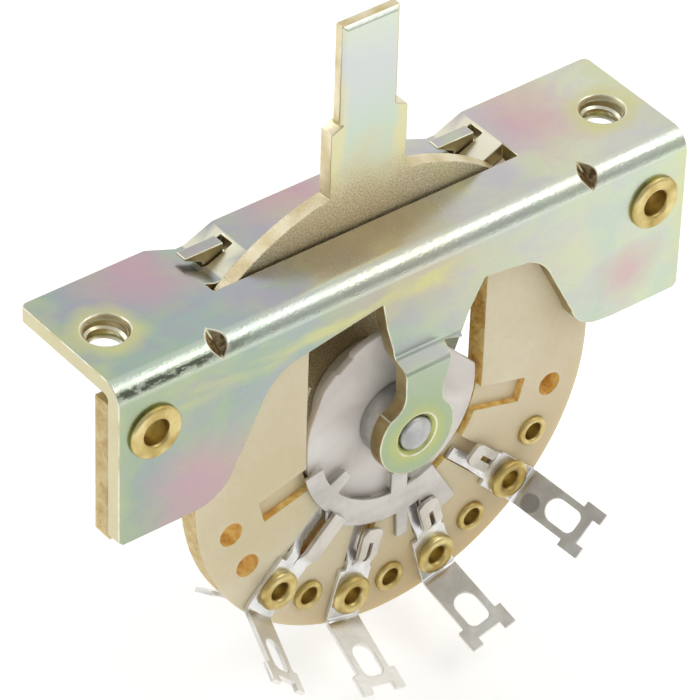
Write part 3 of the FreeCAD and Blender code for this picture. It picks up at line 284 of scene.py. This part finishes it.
def frame_cuts(tree):
    """Mask of the sheared faces: side faces of the flange, and rims of the plate."""
    _, y, z = axes(tree)
    under_plate = -SHEET * MM
    fade = 0.2 * MM
    low = spread(tree, z, under_plate, under_plate - fade)
    high = spread(tree, z, under_plate - fade, under_plate)
    forward = facing(tree, "Y")
    flange_cut = spread(tree, forward, 0.4, 0.2)
    behind = both(tree, spread(tree, forward, 0.4, 0.6), spread(tree, y, -3.9 * MM, -3.7 * MM))
    plate_cut = either(tree, spread(tree, facing(tree, "X"), 0.4, 0.6), behind)
    return either(tree, both(tree, low, flange_cut), both(tree, high, plate_cut))


def round_darts(tree, radius, fade):
    """Mask round the two darts pressed into the bend: radius and fade in mm."""
    x, y, z = axes(tree)
    joined = node(tree, "ShaderNodeCombineXYZ")
    for number, (along, middle) in enumerate(zip((outward(tree, x), y, z), DART_PLACE)):
        tree.links.new(arithmetic(tree, "SUBTRACT", along, middle * MM), joined.inputs[number])
    away = node(tree, "ShaderNodeVectorMath", operation="LENGTH")
    tree.links.new(joined.outputs[0], away.inputs[0])
    return spread(tree, away.outputs["Value"], radius * MM, (radius + fade) * MM, 1.0, 0.0)


def film_clouds(tree, x, forward, ripples):
    """Pale film in blue-green, lilac and yellow, darker on the left with painted shade and lighter on the
    right with painted light.
    """
    clouds = noise(tree, 62, 2.0, 0.45, 0.35, place(tree, shift=(0.02, 0.05, 0.01)))
    plate = ramp(tree, clouds, (0.36, tone(172, 194, 180)), (0.46, tone(172, 182, 186)),
                 (0.54, tone(184, 177, 187)), (0.64, tone(200, 200, 178)))
    flange = ramp(tree, clouds, (0.36, tone(184, 196, 160)), (0.47, tone(166, 186, 170)),
                  (0.56, tone(174, 186, 176)), (0.66, tone(192, 190, 166)))
    colour = blend(tree, spread(tree, forward, 0.4, 0.8), plate, flange)
    colour = blend(tree, spread(tree, ripples, 0.5, 0.7, 0.0, 0.45), colour, tone(198, 206, 160))
    mottle = noise(tree, 420, 3.0, 0.5, 0.8, place(tree, (0.7, 1, 1)))
    lilac = both(tree, spread(tree, mottle, 0.5, 0.62), spread(tree, forward, 0.4, 0.8, 0.4, 0.34))
    colour = blend(tree, lilac, colour, tone(178, 172, 188))
    colour = blend(tree, spread(tree, mottle, 0.48, 0.36, 0.0, 0.4), colour, tone(180, 198, 156))
    # Painted shade: the film is darkened towards the left end.
    colour = blend(tree, spread(tree, x, -24 * MM, 12 * MM, 0.34, 0.0), colour, tone(128, 142, 140))
    # Painted light: the film is lightened towards the right end.
    return blend(tree, spread(tree, x, -2 * MM, 20 * MM, 0.0, 0.36), colour, tone(232, 236, 212))


def film_patches(tree, colour, x, y):
    """Green eye, pink patches, the shield's tan painted reflection, painted highlights on the valleys'
    slopes and yellow round the holes.
    """
    colour = blend(tree, both(tree, near(tree, EYE_PLACE, 2.4, 4.0, 0.8), 0.85), colour, tone(164, 180, 138))
    colour = blend(tree, near(tree, EYE_PLACE, 1.5, 1.0, 0.5), colour, tone(186, 190, 122))
    for centre, radius, fade in (((-15.6, 3.6, 0), 1.0, 4.2), ((15.6, 2.2, 0), 1.0, 4.6),
                                 ((-17.2, FLANGE_FRONT, -11.6), 1.5, 4.2),
                                 ((19.0, FLANGE_FRONT, -9.5), 0.2, 3.0), ((-2.0, 4.8, 0), 0.5, 5.0)):
        pink = both(tree, near(tree, centre, radius, fade, 1.0), 0.6)
        colour = blend(tree, pink, colour, tone(206, 158, 170))
    # Painted reflection: the lever shield's tan mirror image painted on the plate before the slot.
    before_slot = spread(tree, y, 0.0, -0.2 * MM, 0.0, 0.6)
    painted_reflection = both(tree, near(tree, (-1.5, -1.6, 0), 4.0, 4.0, 0.8), before_slot)
    colour = blend(tree, painted_reflection, colour, tone(192, 174, 152))
    # Painted highlight: cream on the valleys' slopes that tilt towards -X.
    tilt = axes(tree, "Normal")
    highlit_slope = both(tree, spread(tree, tilt[0], -0.08, -0.25), spread(tree, tilt[2], 0.5, 0.8))
    reach = spread(tree, outward(tree, x), (VALLEY_START + 0.4) * MM, VALLEY_START * MM)
    colour = blend(tree, both(tree, both(tree, highlit_slope, reach), 0.75), colour, tone(240, 236, 208))
    for side in (-1, 1):
        ring = near(tree, (side * SCREW_SPACING / 2, 0, 0), SCREW_BORE + 0.35, 1.3, 0.5)
        colour = blend(tree, both(tree, ring, 0.75), colour, tone(206, 204, 140))
    return colour


def film_gold(tree, colour, x, z, ripples):
    """Gold at both ends of the sheet, and in streaks below the bend."""
    wave = spread(tree, ripples, 0.3, 0.7, -1.2 * MM, 1.2 * MM)
    ends = spread(tree, arithmetic(tree, "ADD", outward(tree, x), wave), 22.3 * MM, 24.3 * MM)
    depth = arithmetic(tree, "ADD", z, wave)
    above_foot = spread(tree, depth, -4.4 * MM, -3.2 * MM)
    below_bend = both(tree, above_foot, spread(tree, depth, -1.6 * MM, -2.6 * MM))
    streaks = spread(tree, noise(tree, 150, 3.0, 0.5, 0.8, place(tree, (0.5, 1, 1))), 0.46, 0.58)
    gold = either(tree, both(tree, ends, 0.55), both(tree, below_bend, streaks))
    return blend(tree, both(tree, gold, 0.6), colour, tone(212, 208, 132))


def bend_zone(tree, y, z, forward):
    """Mask of the rounded bend between plate and flange."""
    rounded = both(tree, spread(tree, forward, 0.12, 0.3), spread(tree, facing(tree, "Z"), 0.12, 0.3))
    corner = both(tree, spread(tree, y, -3.3 * MM, -3.6 * MM), spread(tree, z, -3.2 * MM, -2.6 * MM))
    return both(tree, rounded, corner)


def painted_bend_light(tree, colour, x, forward, bent):
    """Painted highlight making the bend pale, with a painted dark reflection in speckles low on its left
    part.
    """
    # Painted highlight: the bend is blended towards a pale tone.
    colour = blend(tree, both(tree, bent, 0.5), colour, tone(214, 222, 206))
    # Painted dark reflection: a speckled dark band on the lower bend, strongest on the left.
    under = both(tree, both(tree, spread(tree, forward, 0.66, 0.78), spread(tree, forward, 0.97, 0.9)), bent)
    left = spread(tree, x, -12.0 * MM, -17.0 * MM, 0.06, 0.9)
    speckle = spread(tree, noise(tree, 2600, 3.0, 0.6, 0.0, place(tree, (0.5, 1, 1))), 0.42, 0.52)
    return blend(tree, both(tree, both(tree, under, left), speckle), colour, tone(92, 98, 82))


def hooks_and_painted_shade(tree, colour, x, z, cuts, used):
    """Bronze painted shade on the sheared faces, pale at the ends, bronze on the hooks above the plate, and
    brown painted shade inside the darts.
    """
    # Painted shade: the sheared faces are bronze except at the pale ends.
    sheared = ramp(tree, used.outputs["Cloud"], (0.35, tone(152, 133, 94)), (0.65, tone(190, 174, 132)))
    pale_ends = spread(tree, outward(tree, x), 21 * MM, 22.5 * MM, 0.0, 0.8)
    colour = blend(tree, cuts, colour, blend(tree, pale_ends, sheared, tone(222, 216, 180)))
    hook = ramp(tree, used.outputs["Grain"], (0.4, tone(164, 148, 112)), (0.6, tone(190, 176, 142)))
    colour = blend(tree, spread(tree, z, 0.12 * MM, 0.3 * MM, 0.0, 0.85), colour, hook)
    # Painted shade: brown inside the darts.
    dart = both(tree, round_darts(tree, 0.9, 0.6), spread(tree, facing(tree, "X"), 0.2, 0.35))
    inside = ramp(tree, used.outputs["Grain"], (0.4, tone(92, 74, 50)), (0.6, tone(150, 132, 98)))
    return blend(tree, dart, colour, inside)


def zinc_plating():
    """Yellow-passivated zinc: pale blue-green film with soft lilac, pink and gold clouds."""
    material, tree, shader = finish_of("zinc_yellow", tone(186, 190, 178), 1.0, 0.3)
    x, y, z = axes(tree)
    forward = facing(tree, "Y")
    ripples = noise(tree, 190, 4.0, 0.55, 0.5)
    used = use_group(tree, grain, Grain_Scale=3000, Cloud_Scale=420)
    bent = bend_zone(tree, y, z, forward)
    cuts = frame_cuts(tree)
    colour = film_clouds(tree, x, forward, ripples)
    colour = film_patches(tree, colour, x, y)
    colour = film_gold(tree, colour, x, z, ripples)
    colour = painted_bend_light(tree, colour, x, forward, bent)
    feed(tree, shader.inputs["Base Color"], hooks_and_painted_shade(tree, colour, x, z, cuts, used))
    smooth = spread(tree, used.outputs["Cloud"], 0.3, 0.7, 0.22, 0.32)
    arm_step = both(tree, spread(tree, z, -6.0 * MM, -6.6 * MM), spread(tree, forward, 0.97, 0.9))
    dull = both(tree, either(tree, cuts, arm_step), 0.48)
    feed(tree, shader.inputs["Roughness"], arithmetic(tree, "MAXIMUM", smooth, dull))
    peel = noise(tree, 4800, 3.0, 0.6, 0.3, place(tree, (0.6, 1, 1)))
    stretched = relief(tree, both(tree, peel, bent), 0.4, 0.00005)
    feed(tree, shader.inputs["Normal"], relief(tree, used.outputs["Grain"], 0.15, 0.00004, stretched))
    return material


def zinc_edge():
    """Rounded rims of the plated sheet, painted brighter as a highlight, with painted shade where they run
    into the darts.
    """
    material, tree, shader = finish_of("zinc_edge", tone(226, 222, 196), 1.0, 0.3)
    used = use_group(tree, grain, Grain_Scale=2200, Cloud_Scale=500)
    # Painted highlight: pale tones along the rounded rims.
    colour = ramp(tree, used.outputs["Cloud"], (0.35, tone(198, 190, 150)), (0.55, tone(230, 228, 206)),
                  (0.7, tone(210, 216, 196)))
    # Painted shade: dark brown where the rims run into the darts.
    colour = blend(tree, round_darts(tree, 0.5, 0.3), colour, tone(104, 86, 60))
    feed(tree, shader.inputs["Base Color"], colour)
    feed(tree, shader.inputs["Normal"], relief(tree, used.outputs["Grain"], 0.2, 0.00003))
    return material


def lever_plating():
    """Blasted tan shield, then a smoother blade with soft cyan, lilac and gold bands."""
    material, tree, shader = finish_of("lever_steel", tone(186, 176, 148), 1.0, 0.45)
    x, _, z = axes(tree)
    blast = noise(tree, 8200, 2.0, 0.5, 0.0)
    matte = ramp(tree, blast, (0.34, tone(180, 167, 134)), (0.5, tone(208, 196, 163)),
                 (0.66, tone(230, 221, 192)))
    clouds = noise(tree, 210, 2.0, 0.45, 0.3)
    height = arithmetic(tree, "ADD", z, spread(tree, clouds, 0.3, 0.7, -1.5 * MM, 1.5 * MM))
    band = spread(tree, height, 4 * MM, 28 * MM)
    film = ramp(tree, band, (0.0, tone(206, 206, 176)), (0.16, tone(196, 210, 192)),
                (0.36, tone(204, 208, 206)), (0.5, tone(208, 216, 200)), (0.66, tone(212, 210, 206)),
                (0.82, tone(226, 220, 182)), (1.0, tone(226, 220, 170)))
    waver = spread(tree, clouds, 0.3, 0.7, -0.7 * MM, 0.7 * MM)
    rim = spread(tree, arithmetic(tree, "ADD", outward(tree, x), waver), 1.9 * MM, 2.7 * MM, 0.0, 0.7)
    film = blend(tree, rim, film, tone(224, 214, 160))
    up = spread(tree, height, 2.4 * MM, 5.2 * MM)
    colour = blend(tree, up, matte, film)
    cut = spread(tree, facing(tree, "Y"), 0.5, 0.3)
    used = use_group(tree, grain, Grain_Scale=3600, Cloud_Scale=420)
    # Paler cut faces: the blasted steel's own colour, lightened as a painted highlight.
    sheared = ramp(tree, used.outputs["Cloud"], (0.35, tone(206, 188, 142)), (0.62, tone(232, 222, 192)))
    colour = blend(tree, cut, colour, sheared)
    feed(tree, shader.inputs["Base Color"], colour)
    feed(tree, shader.inputs["Roughness"], spread(tree, height, 2.4 * MM, 5.2 * MM, 0.44, 0.3))
    pits = relief(tree, both(tree, blast, rest_of(tree, up)), 0.9, 0.00007)
    feed(tree, shader.inputs["Normal"], relief(tree, used.outputs["Grain"], 0.25, 0.00004, pits))
    return material


def board():
    """Laminated board: creamy faces with painted shade making them browner low down, rough orange-yellow cut
    edges.
    """
    material, tree, shader = finish_of("phenolic", tone(232, 216, 178), 0.0, 0.42, Subsurface_Weight=0.25,
                                       Subsurface_Scale=0.002, Coat_Weight=0.15, Coat_Roughness=0.3)
    shader.inputs["Subsurface Radius"].default_value = (1.0, 0.75, 0.45)
    x, _, z = axes(tree)
    fibres = noise(tree, 1500, 5.0, 0.6, 0.6, place(tree, (1, 0.6, 1)))
    clouds = noise(tree, 130, 2.0, 0.5, 0.4)
    face = ramp(tree, clouds, (0.3, tone(212, 199, 160)), (0.5, tone(218, 206, 172)),
                (0.7, tone(224, 214, 184)))
    # Painted shade: the faces turn browner low down, more towards the right.
    depth = arithmetic(tree, "SUBTRACT", arithmetic(tree, "MULTIPLY", x, 0.35), z)
    low = spread(tree, depth, 19 * MM, 32 * MM, 0.0, 0.9)
    face = blend(tree, low, face, tone(200, 174, 124))
    face = blend(tree, spread(tree, fibres, 0.45, 0.7, 0.0, 0.14), face, tone(200, 170, 116))
    crumbs = noise(tree, 1100, 5.0, 0.65, 0.3)
    edge = ramp(tree, crumbs, (0.34, tone(206, 158, 72)), (0.48, tone(232, 190, 104)),
                (0.6, tone(244, 214, 138)), (0.72, tone(246, 226, 166)))
    out = facing(tree, "Y")
    outline = near(tree, (0, WAFER_MIDDLE, -PIVOT_DEPTH), 15.6, 0.6)
    pale = ramp(tree, crumbs, (0.34, tone(190, 158, 96)), (0.6, tone(216, 196, 144)))
    edge = blend(tree, outline, pale, edge)
    flat = spread(tree, out, 0.55, 0.8)
    feed(tree, shader.inputs["Base Color"], blend(tree, flat, edge, face))
    feed(tree, shader.inputs["Roughness"], spread(tree, out, 0.5, 0.9, 0.85, 0.42))
    broken = relief(tree, both(tree, crumbs, rest_of(tree, flat)), 1.0, 0.0003)
    feed(tree, shader.inputs["Normal"], relief(tree, fibres, 0.15, 0.00005, broken))
    return material


def nylon():
    """Moulded rotor plastic: milky warm white, with soft light inside."""
    material, tree, shader = finish_of("nylon", tone(228, 223, 216), 0.0, 0.4, Subsurface_Weight=0.4,
                                       Subsurface_Scale=0.0015)
    shader.inputs["Subsurface Radius"].default_value = (1.0, 0.95, 0.9)
    clouds = noise(tree, 230, 3.0, 0.55, 0.5)
    milky = ramp(tree, clouds, (0.34, tone(212, 205, 197)), (0.5, tone(224, 218, 210)),
                 (0.66, tone(234, 230, 223)))
    feed(tree, shader.inputs["Base Color"], milky)
    marks = relief(tree, noise(tree, 420, 3.0, 0.5, 1.0), 0.25, 0.0001)
    feed(tree, shader.inputs["Normal"], relief(tree, noise(tree, 1600, 3.0), 0.12, 0.00005, marks))
    return material


def sheet_silver(name, low, high, roughness, grain_scale):
    """Bright stamped contact sheet with a faint rolled grain."""
    material, tree, shader = finish_of(name, high, 1.0, roughness)
    used = use_group(tree, grain, Grain_Scale=grain_scale, Cloud_Scale=420)
    feed(tree, shader.inputs["Base Color"], ramp(tree, used.outputs["Cloud"], (0.35, low), (0.6, high)))
    feed(tree, shader.inputs["Roughness"], spread(tree, used.outputs["Scratches"], 0.35, 0.65,
                                                  roughness * 0.8, roughness * 1.3))
    feed(tree, shader.inputs["Normal"], relief(tree, used.outputs["Grain"], 0.12, 0.00003))
    return material


def lug_plating():
    """Tinned lugs: bright crinkled clips, a matte grey tab with painted light on the left lugs, a tan line
    at the bend and painted shade in one tab's dimple.
    """
    material, tree, shader = finish_of("lug_tin", tone(214, 212, 206), 0.8, 0.3)
    x, y, _ = axes(tree)
    used = use_group(tree, grain, Grain_Scale=3200, Cloud_Scale=700)
    off_board = outward(tree, arithmetic(tree, "SUBTRACT", y, WAFER_MIDDLE * MM))
    tab = spread(tree, off_board, 1.5 * MM, 2.0 * MM)
    bright = ramp(tree, used.outputs["Cloud"], (0.35, tone(214, 213, 210)), (0.6, tone(240, 240, 238)))
    matte = ramp(tree, used.outputs["Cloud"], (0.35, tone(202, 198, 188)), (0.65, tone(224, 222, 214)))
    # Painted light: the tabs are lightened towards the left.
    matte = blend(tree, spread(tree, x, 3 * MM, -2 * MM, 0.0, 0.7), matte, tone(246, 244, 238))
    colour = blend(tree, tab, bright, matte)
    before_tab = spread(tree, off_board, 2.1 * MM, 1.5 * MM)
    bend = both(tree, spread(tree, off_board, 1.2 * MM, 1.4 * MM), before_tab)
    colour = blend(tree, both(tree, bend, 0.45), colour, tone(170, 152, 118))
    # Painted shade: a dark round spot in the dimple of one tab.
    dimple_shade = near(tree, DIMPLE_SHADE_PLACE, 0.72, 0.12)
    colour = blend(tree, both(tree, dimple_shade, 0.6), colour, tone(120, 112, 104))
    feed(tree, shader.inputs["Base Color"], colour)
    feed(tree, shader.inputs["Roughness"], spread(tree, tab, 0.0, 1.0, 0.26, 0.38))
    dents = relief(tree, noise(tree, 620, 3.0, 0.6, 0.6), 0.35, 0.00012)
    feed(tree, shader.inputs["Normal"], relief(tree, used.outputs["Grain"], 0.2, 0.00004, dents))
    return material


def brass():
    """Rolled brass, dull and a little green in patches."""
    material, tree, shader = finish_of("eyelet_brass", tone(206, 184, 118), 1.0, 0.3)
    used = use_group(tree, grain, Grain_Scale=2600, Cloud_Scale=650)
    feed(tree, shader.inputs["Base Color"], ramp(tree, used.outputs["Cloud"], (0.32, tone(176, 152, 88)),
                                                 (0.5, tone(202, 180, 116)), (0.68, tone(222, 206, 148))))
    feed(tree, shader.inputs["Roughness"], spread(tree, used.outputs["Cloud"], 0.3, 0.7, 0.46, 0.3))
    feed(tree, shader.inputs["Normal"], relief(tree, used.outputs["Grain"], 0.25, 0.00004))
    return material


def turned_steel():
    """Satin turned steel with rings round the pivot."""
    material, tree, shader = finish_of("shaft_steel", tone(206, 206, 202), 1.0, 0.4)
    centred = place(tree, shift=(0, 0, PIVOT_DEPTH * MM))
    rings = node(tree, "ShaderNodeTexWave", wave_type="RINGS", rings_direction="Y")
    rings.inputs["Scale"].default_value = 1500
    rings.inputs["Distortion"].default_value = 1.5
    tree.links.new(centred, rings.inputs["Vector"])
    feed(tree, shader.inputs["Base Color"], ramp(tree, noise(tree, 700), (0.35, tone(166, 166, 165)),
                                                 (0.65, tone(198, 198, 196))))
    feed(tree, shader.inputs["Normal"], relief(tree, rings.outputs["Fac"], 0.08, 0.00004))
    return material


finishes = {
    "zinc_yellow": zinc_plating(),
    "lever_steel": lever_plating(),
    "phenolic": board(),
    "nylon": nylon(),
    "contact_silver": sheet_silver("contact_silver", tone(190, 186, 179), tone(208, 205, 199), 0.38, 2600),
    "lug_tin": lug_plating(),
    "spring_steel": sheet_silver("spring_steel", tone(120, 120, 118), tone(168, 168, 164), 0.34, 2400),
    "shaft_steel": turned_steel(),
    "eyelet_brass": brass(),
}
bright_edge = zinc_edge()
slot_of = {entry["node"]: entry["material_slot"] for entry in frame["record"]["subparts"]}
PLATED_SHEETS = ("frame_bracket", "index_plate")


# CAD nodes

def merge_flat(thing, degrees):
    """Add a modifier that joins neighbouring triangles that lie in one plane."""
    flat = thing.modifiers.new("flat_faces", "DECIMATE")
    flat.decimate_type = "DISSOLVE"
    flat.angle_limit = math.radians(degrees)
    flat.delimit = {"MATERIAL"}


def soften_node(name, width, edge=None, pierced=False):
    """Round the node's sharp edges by a width in mm and join its flat triangles, all in modifiers.

    A pierced node is rounded before its triangles are joined.
    """
    thing = nodes[name]
    mesh = thing.data
    mesh.materials.clear()
    mesh.materials.append(finishes[slot_of[name]])
    if edge:
        mesh.materials.append(edge)
    for face in mesh.polygons:
        face.use_smooth = True
        face.material_index = 0
    weld = thing.modifiers.new("join", "WELD")
    weld.merge_threshold = WELD_REACH * MM
    if not pierced:
        merge_flat(thing, 0.4)
    round_off = thing.modifiers.new("round_off", "BEVEL")
    round_off.width = width * MM
    round_off.segments = 2
    round_off.limit_method = "ANGLE"
    round_off.angle_limit = math.radians(32)
    round_off.use_clamp_overlap = False
    round_off.loop_slide = False
    round_off.miter_outer = "MITER_ARC"
    round_off.material = 1 if edge else -1
    round_off.harden_normals = True
    if pierced:
        merge_flat(thing, 0.2)
    even = thing.modifiers.new("even_shade", "WEIGHTED_NORMAL")
    even.keep_sharp = True


for name in nodes:
    edge = bright_edge if name in PLATED_SHEETS else None
    soften_node(name, ROUNDING.get(name, USUAL_ROUNDING), edge, pierced=edge is not None or name == "rotor")


# New pieces

def clear_selection():
    """Leave edit mode and select nothing."""
    if bpy.context.object and bpy.context.object.mode != "OBJECT":
        bpy.ops.object.mode_set(mode="OBJECT")
    bpy.ops.object.select_all(action="DESELECT")


def apply_all(piece):
    """Apply the piece's modifiers in their order."""
    for modifier in list(piece.modifiers):
        bpy.ops.object.modifier_apply(modifier=modifier.name)


def settle(piece, name, material, body):
    """Put the piece's place in its mesh and hand it its finish and its body."""
    piece.name = name
    bpy.ops.object.transform_apply(location=True, rotation=True, scale=True)
    piece.data.materials.clear()
    piece.data.materials.append(material)
    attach(piece, body)


def lathe(points, centre, segments=48):
    """Piece turned about a line along Y: a closed profile of (radius, depth) in mm."""
    clear_selection()
    bpy.ops.mesh.primitive_plane_add(size=0.001, location=(0, 0, 0))
    piece = bpy.context.object
    bpy.ops.object.mode_set(mode="EDIT")
    bpy.ops.mesh.merge(type="CENTER")
    bpy.ops.transform.translate(value=(points[0][0] * MM, points[0][1] * MM, 0))
    for before, after in zip(points, points[1:] + points[:1]):
        step = ((after[0] - before[0]) * MM, (after[1] - before[1]) * MM, 0)
        bpy.ops.mesh.extrude_region_move(TRANSFORM_OT_translate={"value": step})
    bpy.ops.mesh.select_all(action="SELECT")
    bpy.ops.mesh.remove_doubles(threshold=MERGE_REACH * MM)
    bpy.ops.object.mode_set(mode="OBJECT")
    turn = piece.modifiers.new("turn", "SCREW")
    turn.axis = "Y"
    turn.steps = segments
    turn.render_steps = segments
    turn.use_merge_vertices = True
    turn.merge_threshold = MERGE_REACH * MM
    apply_all(piece)
    bpy.ops.object.mode_set(mode="EDIT")
    bpy.ops.mesh.select_all(action="SELECT")
    bpy.ops.mesh.normals_make_consistent(inside=False)
    bpy.ops.object.mode_set(mode="OBJECT")
    bpy.ops.object.shade_smooth_by_angle(angle=math.radians(35))
    piece.location = (centre[0] * MM, 0, centre[1] * MM)
    return piece


def roll(centre, radius, start, end, steps=5):
    """Points on an arc from start to end degrees about a centre."""
    angles = [math.radians(start + (end - start) * step / steps) for step in range(steps + 1)]
    return [(centre[0] + radius * math.cos(angle), centre[1] + radius * math.sin(angle)) for angle in angles]


def eyelet(name, centre, head, foot, bore, barrel, flange, tail, proud, tail_proud):
    """Rolled brass eyelet from head to foot along Y: a curled flange, a barrel and a small curled tail.

    The places, the radii (bore, barrel, flange and tail) and the two heights are in mm.
    """
    way = -1 if head < foot else 1
    curl = proud * 0.62
    lip = curl * 1.1
    low = tail_proud * 0.6
    head_side = [(barrel, 0), (flange - 0.12, 0)]
    head_side += roll((flange - curl, proud - curl), curl, 0, 90)
    head_side += roll((bore + lip, proud - lip), lip, 90, 180)
    head_side += [(bore, -0.4)]
    foot_side = roll((bore + low, tail_proud - low), low, 180, 90, 4)
    foot_side += roll((tail - low, tail_proud - low), low, 90, 0, 4)
    foot_side += [(tail, 0), (barrel, 0)]
    points = [(radius, head + way * out) for radius, out in head_side]
    points += [(radius, foot - way * out) for radius, out in foot_side]
    piece = lathe(points, centre)
    settle(piece, name + "_rolled", finishes["eyelet_brass"], "frame")
    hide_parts(name)
    return piece


for label, sign in (("left", -1), ("right", 1)):
    centre = (sign * FRAME_EYELET_PLACE[0], FRAME_EYELET_PLACE[1])
    eyelet("frame_eyelet_" + label, centre, FLANGE_FRONT, WAFER_BACK, **FRAME_EYELET)
for label, steps, head, foot in (("front", (-3, -1, 1, 3), WAFER_FRONT - LUG_SHEET, WAFER_BACK),
                                 ("back", (-2, 0, 2, 4), WAFER_BACK + LUG_SHEET, WAFER_FRONT)):
    for number, step in enumerate(steps, 1):
        turn = math.radians(RIVET_PITCH * step)
        centre = (RIVET_CIRCLE * math.sin(turn), -PIVOT_DEPTH - RIVET_CIRCLE * math.cos(turn))
        eyelet("lug_eyelet_%s_%d" % (label, number), centre, head, foot, **LUG_EYELET)


def screw_thread(name, x):
    """Thread ridge wound inside a tapped hole."""
    clear_selection()
    bpy.ops.mesh.primitive_circle_add(vertices=3, radius=RIDGE_RADIUS * MM, fill_type="NOTHING",
                                      rotation=(math.pi / 2, 0, 0))
    ridge = bpy.context.object
    bpy.ops.object.transform_apply(rotation=True)
    bpy.ops.object.mode_set(mode="EDIT")
    bpy.ops.mesh.select_all(action="SELECT")
    bpy.ops.transform.rotate(value=math.radians(90), orient_axis="Y", center_override=(0, 0, 0))
    bpy.ops.transform.translate(value=((SCREW_BORE + 0.06) * MM, 0, THREAD_START * MM))
    bpy.ops.object.mode_set(mode="OBJECT")
    ridge.location = (x * MM, 0, 0)
    wind = ridge.modifiers.new("wind", "SCREW")
    wind.axis = "Z"
    wind.angle = math.radians(THREAD_DEGREES)
    wind.screw_offset = THREAD_PITCH * MM * THREAD_DEGREES / 360
    wind.steps = THREAD_STEPS
    wind.render_steps = THREAD_STEPS
    apply_all(ridge)
    bpy.ops.object.mode_set(mode="EDIT")
    bpy.ops.mesh.select_all(action="SELECT")
    bpy.ops.mesh.normals_make_consistent(inside=False)
    bpy.ops.object.mode_set(mode="OBJECT")
    bpy.ops.object.shade_smooth_by_angle(angle=math.radians(40))
    settle(ridge, name, bright_edge, "frame")


for label, sign in (("left", -1), ("right", 1)):
    screw_thread("thread_" + label, sign * SCREW_SPACING / 2)


# Studio and camera

def grey(level, blue=None):
    """Neutral linear colour, with its blue part set apart if need be."""
    return (level, level, level if blue is None else blue, 1)


def paper_floor():
    """White sweep of paper just under the lugs."""
    clear_selection()
    bpy.ops.mesh.primitive_plane_add(size=6, location=(0, 0, FLOOR_LEVEL * MM))
    floor = bpy.context.object
    floor.name = "floor"
    paper, tree, shader = finish_of("floor_paper", grey(0.94), 0.0, 0.9, Emission_Strength=0.34)
    shader.inputs["Emission Color"].default_value = grey(1)
    fibres = noise(tree, 3.0)
    feed(tree, shader.inputs["Base Color"], ramp(tree, fibres, (0.3, grey(0.93)), (0.7, grey(0.95))))
    floor.data.materials.append(paper)


def soft_room():
    """World light that is dim on the viewer's side and bright behind the part."""
    world = bpy.data.worlds.new("soft_room")
    bpy.context.scene.world = world
    world.use_nodes = True
    tree = world.node_tree
    room = tree.nodes["Background"]
    room.inputs["Strength"].default_value = 1.0
    toward = node(tree, "ShaderNodeVectorMath", operation="DOT_PRODUCT")
    tree.links.new(node(tree, "ShaderNodeTexCoord").outputs["Generated"], toward.inputs[0])
    toward.inputs[1].default_value = (0.6, 0.8, 0)
    side = spread(tree, toward.outputs["Value"], -1.0, 1.0)
    feed(tree, room.inputs["Color"], ramp(tree, side, (0.2, grey(0.48, 0.49)), (0.48, grey(0.68)),
                                          (0.62, grey(0.9)), (0.85, grey(0.98, 0.97))))


def lamp(name, position, size, power):
    """Area lamp aimed at the part: position and size in metres, power in watts."""
    data = bpy.data.lights.new(name, "AREA")
    data.shape = "RECTANGLE"
    data.size, data.size_y = size
    data.energy = power
    made = bpy.data.objects.new(name, data)
    bpy.context.collection.objects.link(made)
    made.location = position
    aim = Vector((0, 0, LAMP_AIM * MM)) - Vector(position)
    made.rotation_euler = aim.to_track_quat("-Z", "Y").to_euler()


def photo_camera():
    """Camera at the viewing angle of the photograph."""
    data = bpy.data.cameras.new("photo_camera")
    data.lens = CAMERA_LENS
    data.sensor_width = 36
    data.clip_start = 0.01
    data.clip_end = 20
    camera = bpy.data.objects.new("photo_camera", data)
    bpy.context.collection.objects.link(camera)
    forward = Vector(CAMERA_AIM)
    level = forward.cross(Vector((0, 0, 1))).normalized()
    roll_angle = math.radians(CAMERA_ROLL)
    upright = level.cross(forward)
    right = level * math.cos(roll_angle) + upright * math.sin(roll_angle)
    up = right.cross(forward)
    turned = Matrix((right, up, -forward)).transposed().to_4x4()
    camera.matrix_world = Matrix.Translation(Vector(CAMERA_PLACE) * MM) @ turned
    bpy.context.scene.camera = camera


paper_floor()
soft_room()
lamp("key_right", (0.3, -0.26, 0.48), (0.5, 0.2), 0.6)
lamp("window_back", (-0.3, 0.42, 0.48), (0.3, 0.24), 0.5)
photo_camera()
bpy.context.scene.view_settings.view_transform = "Standard"
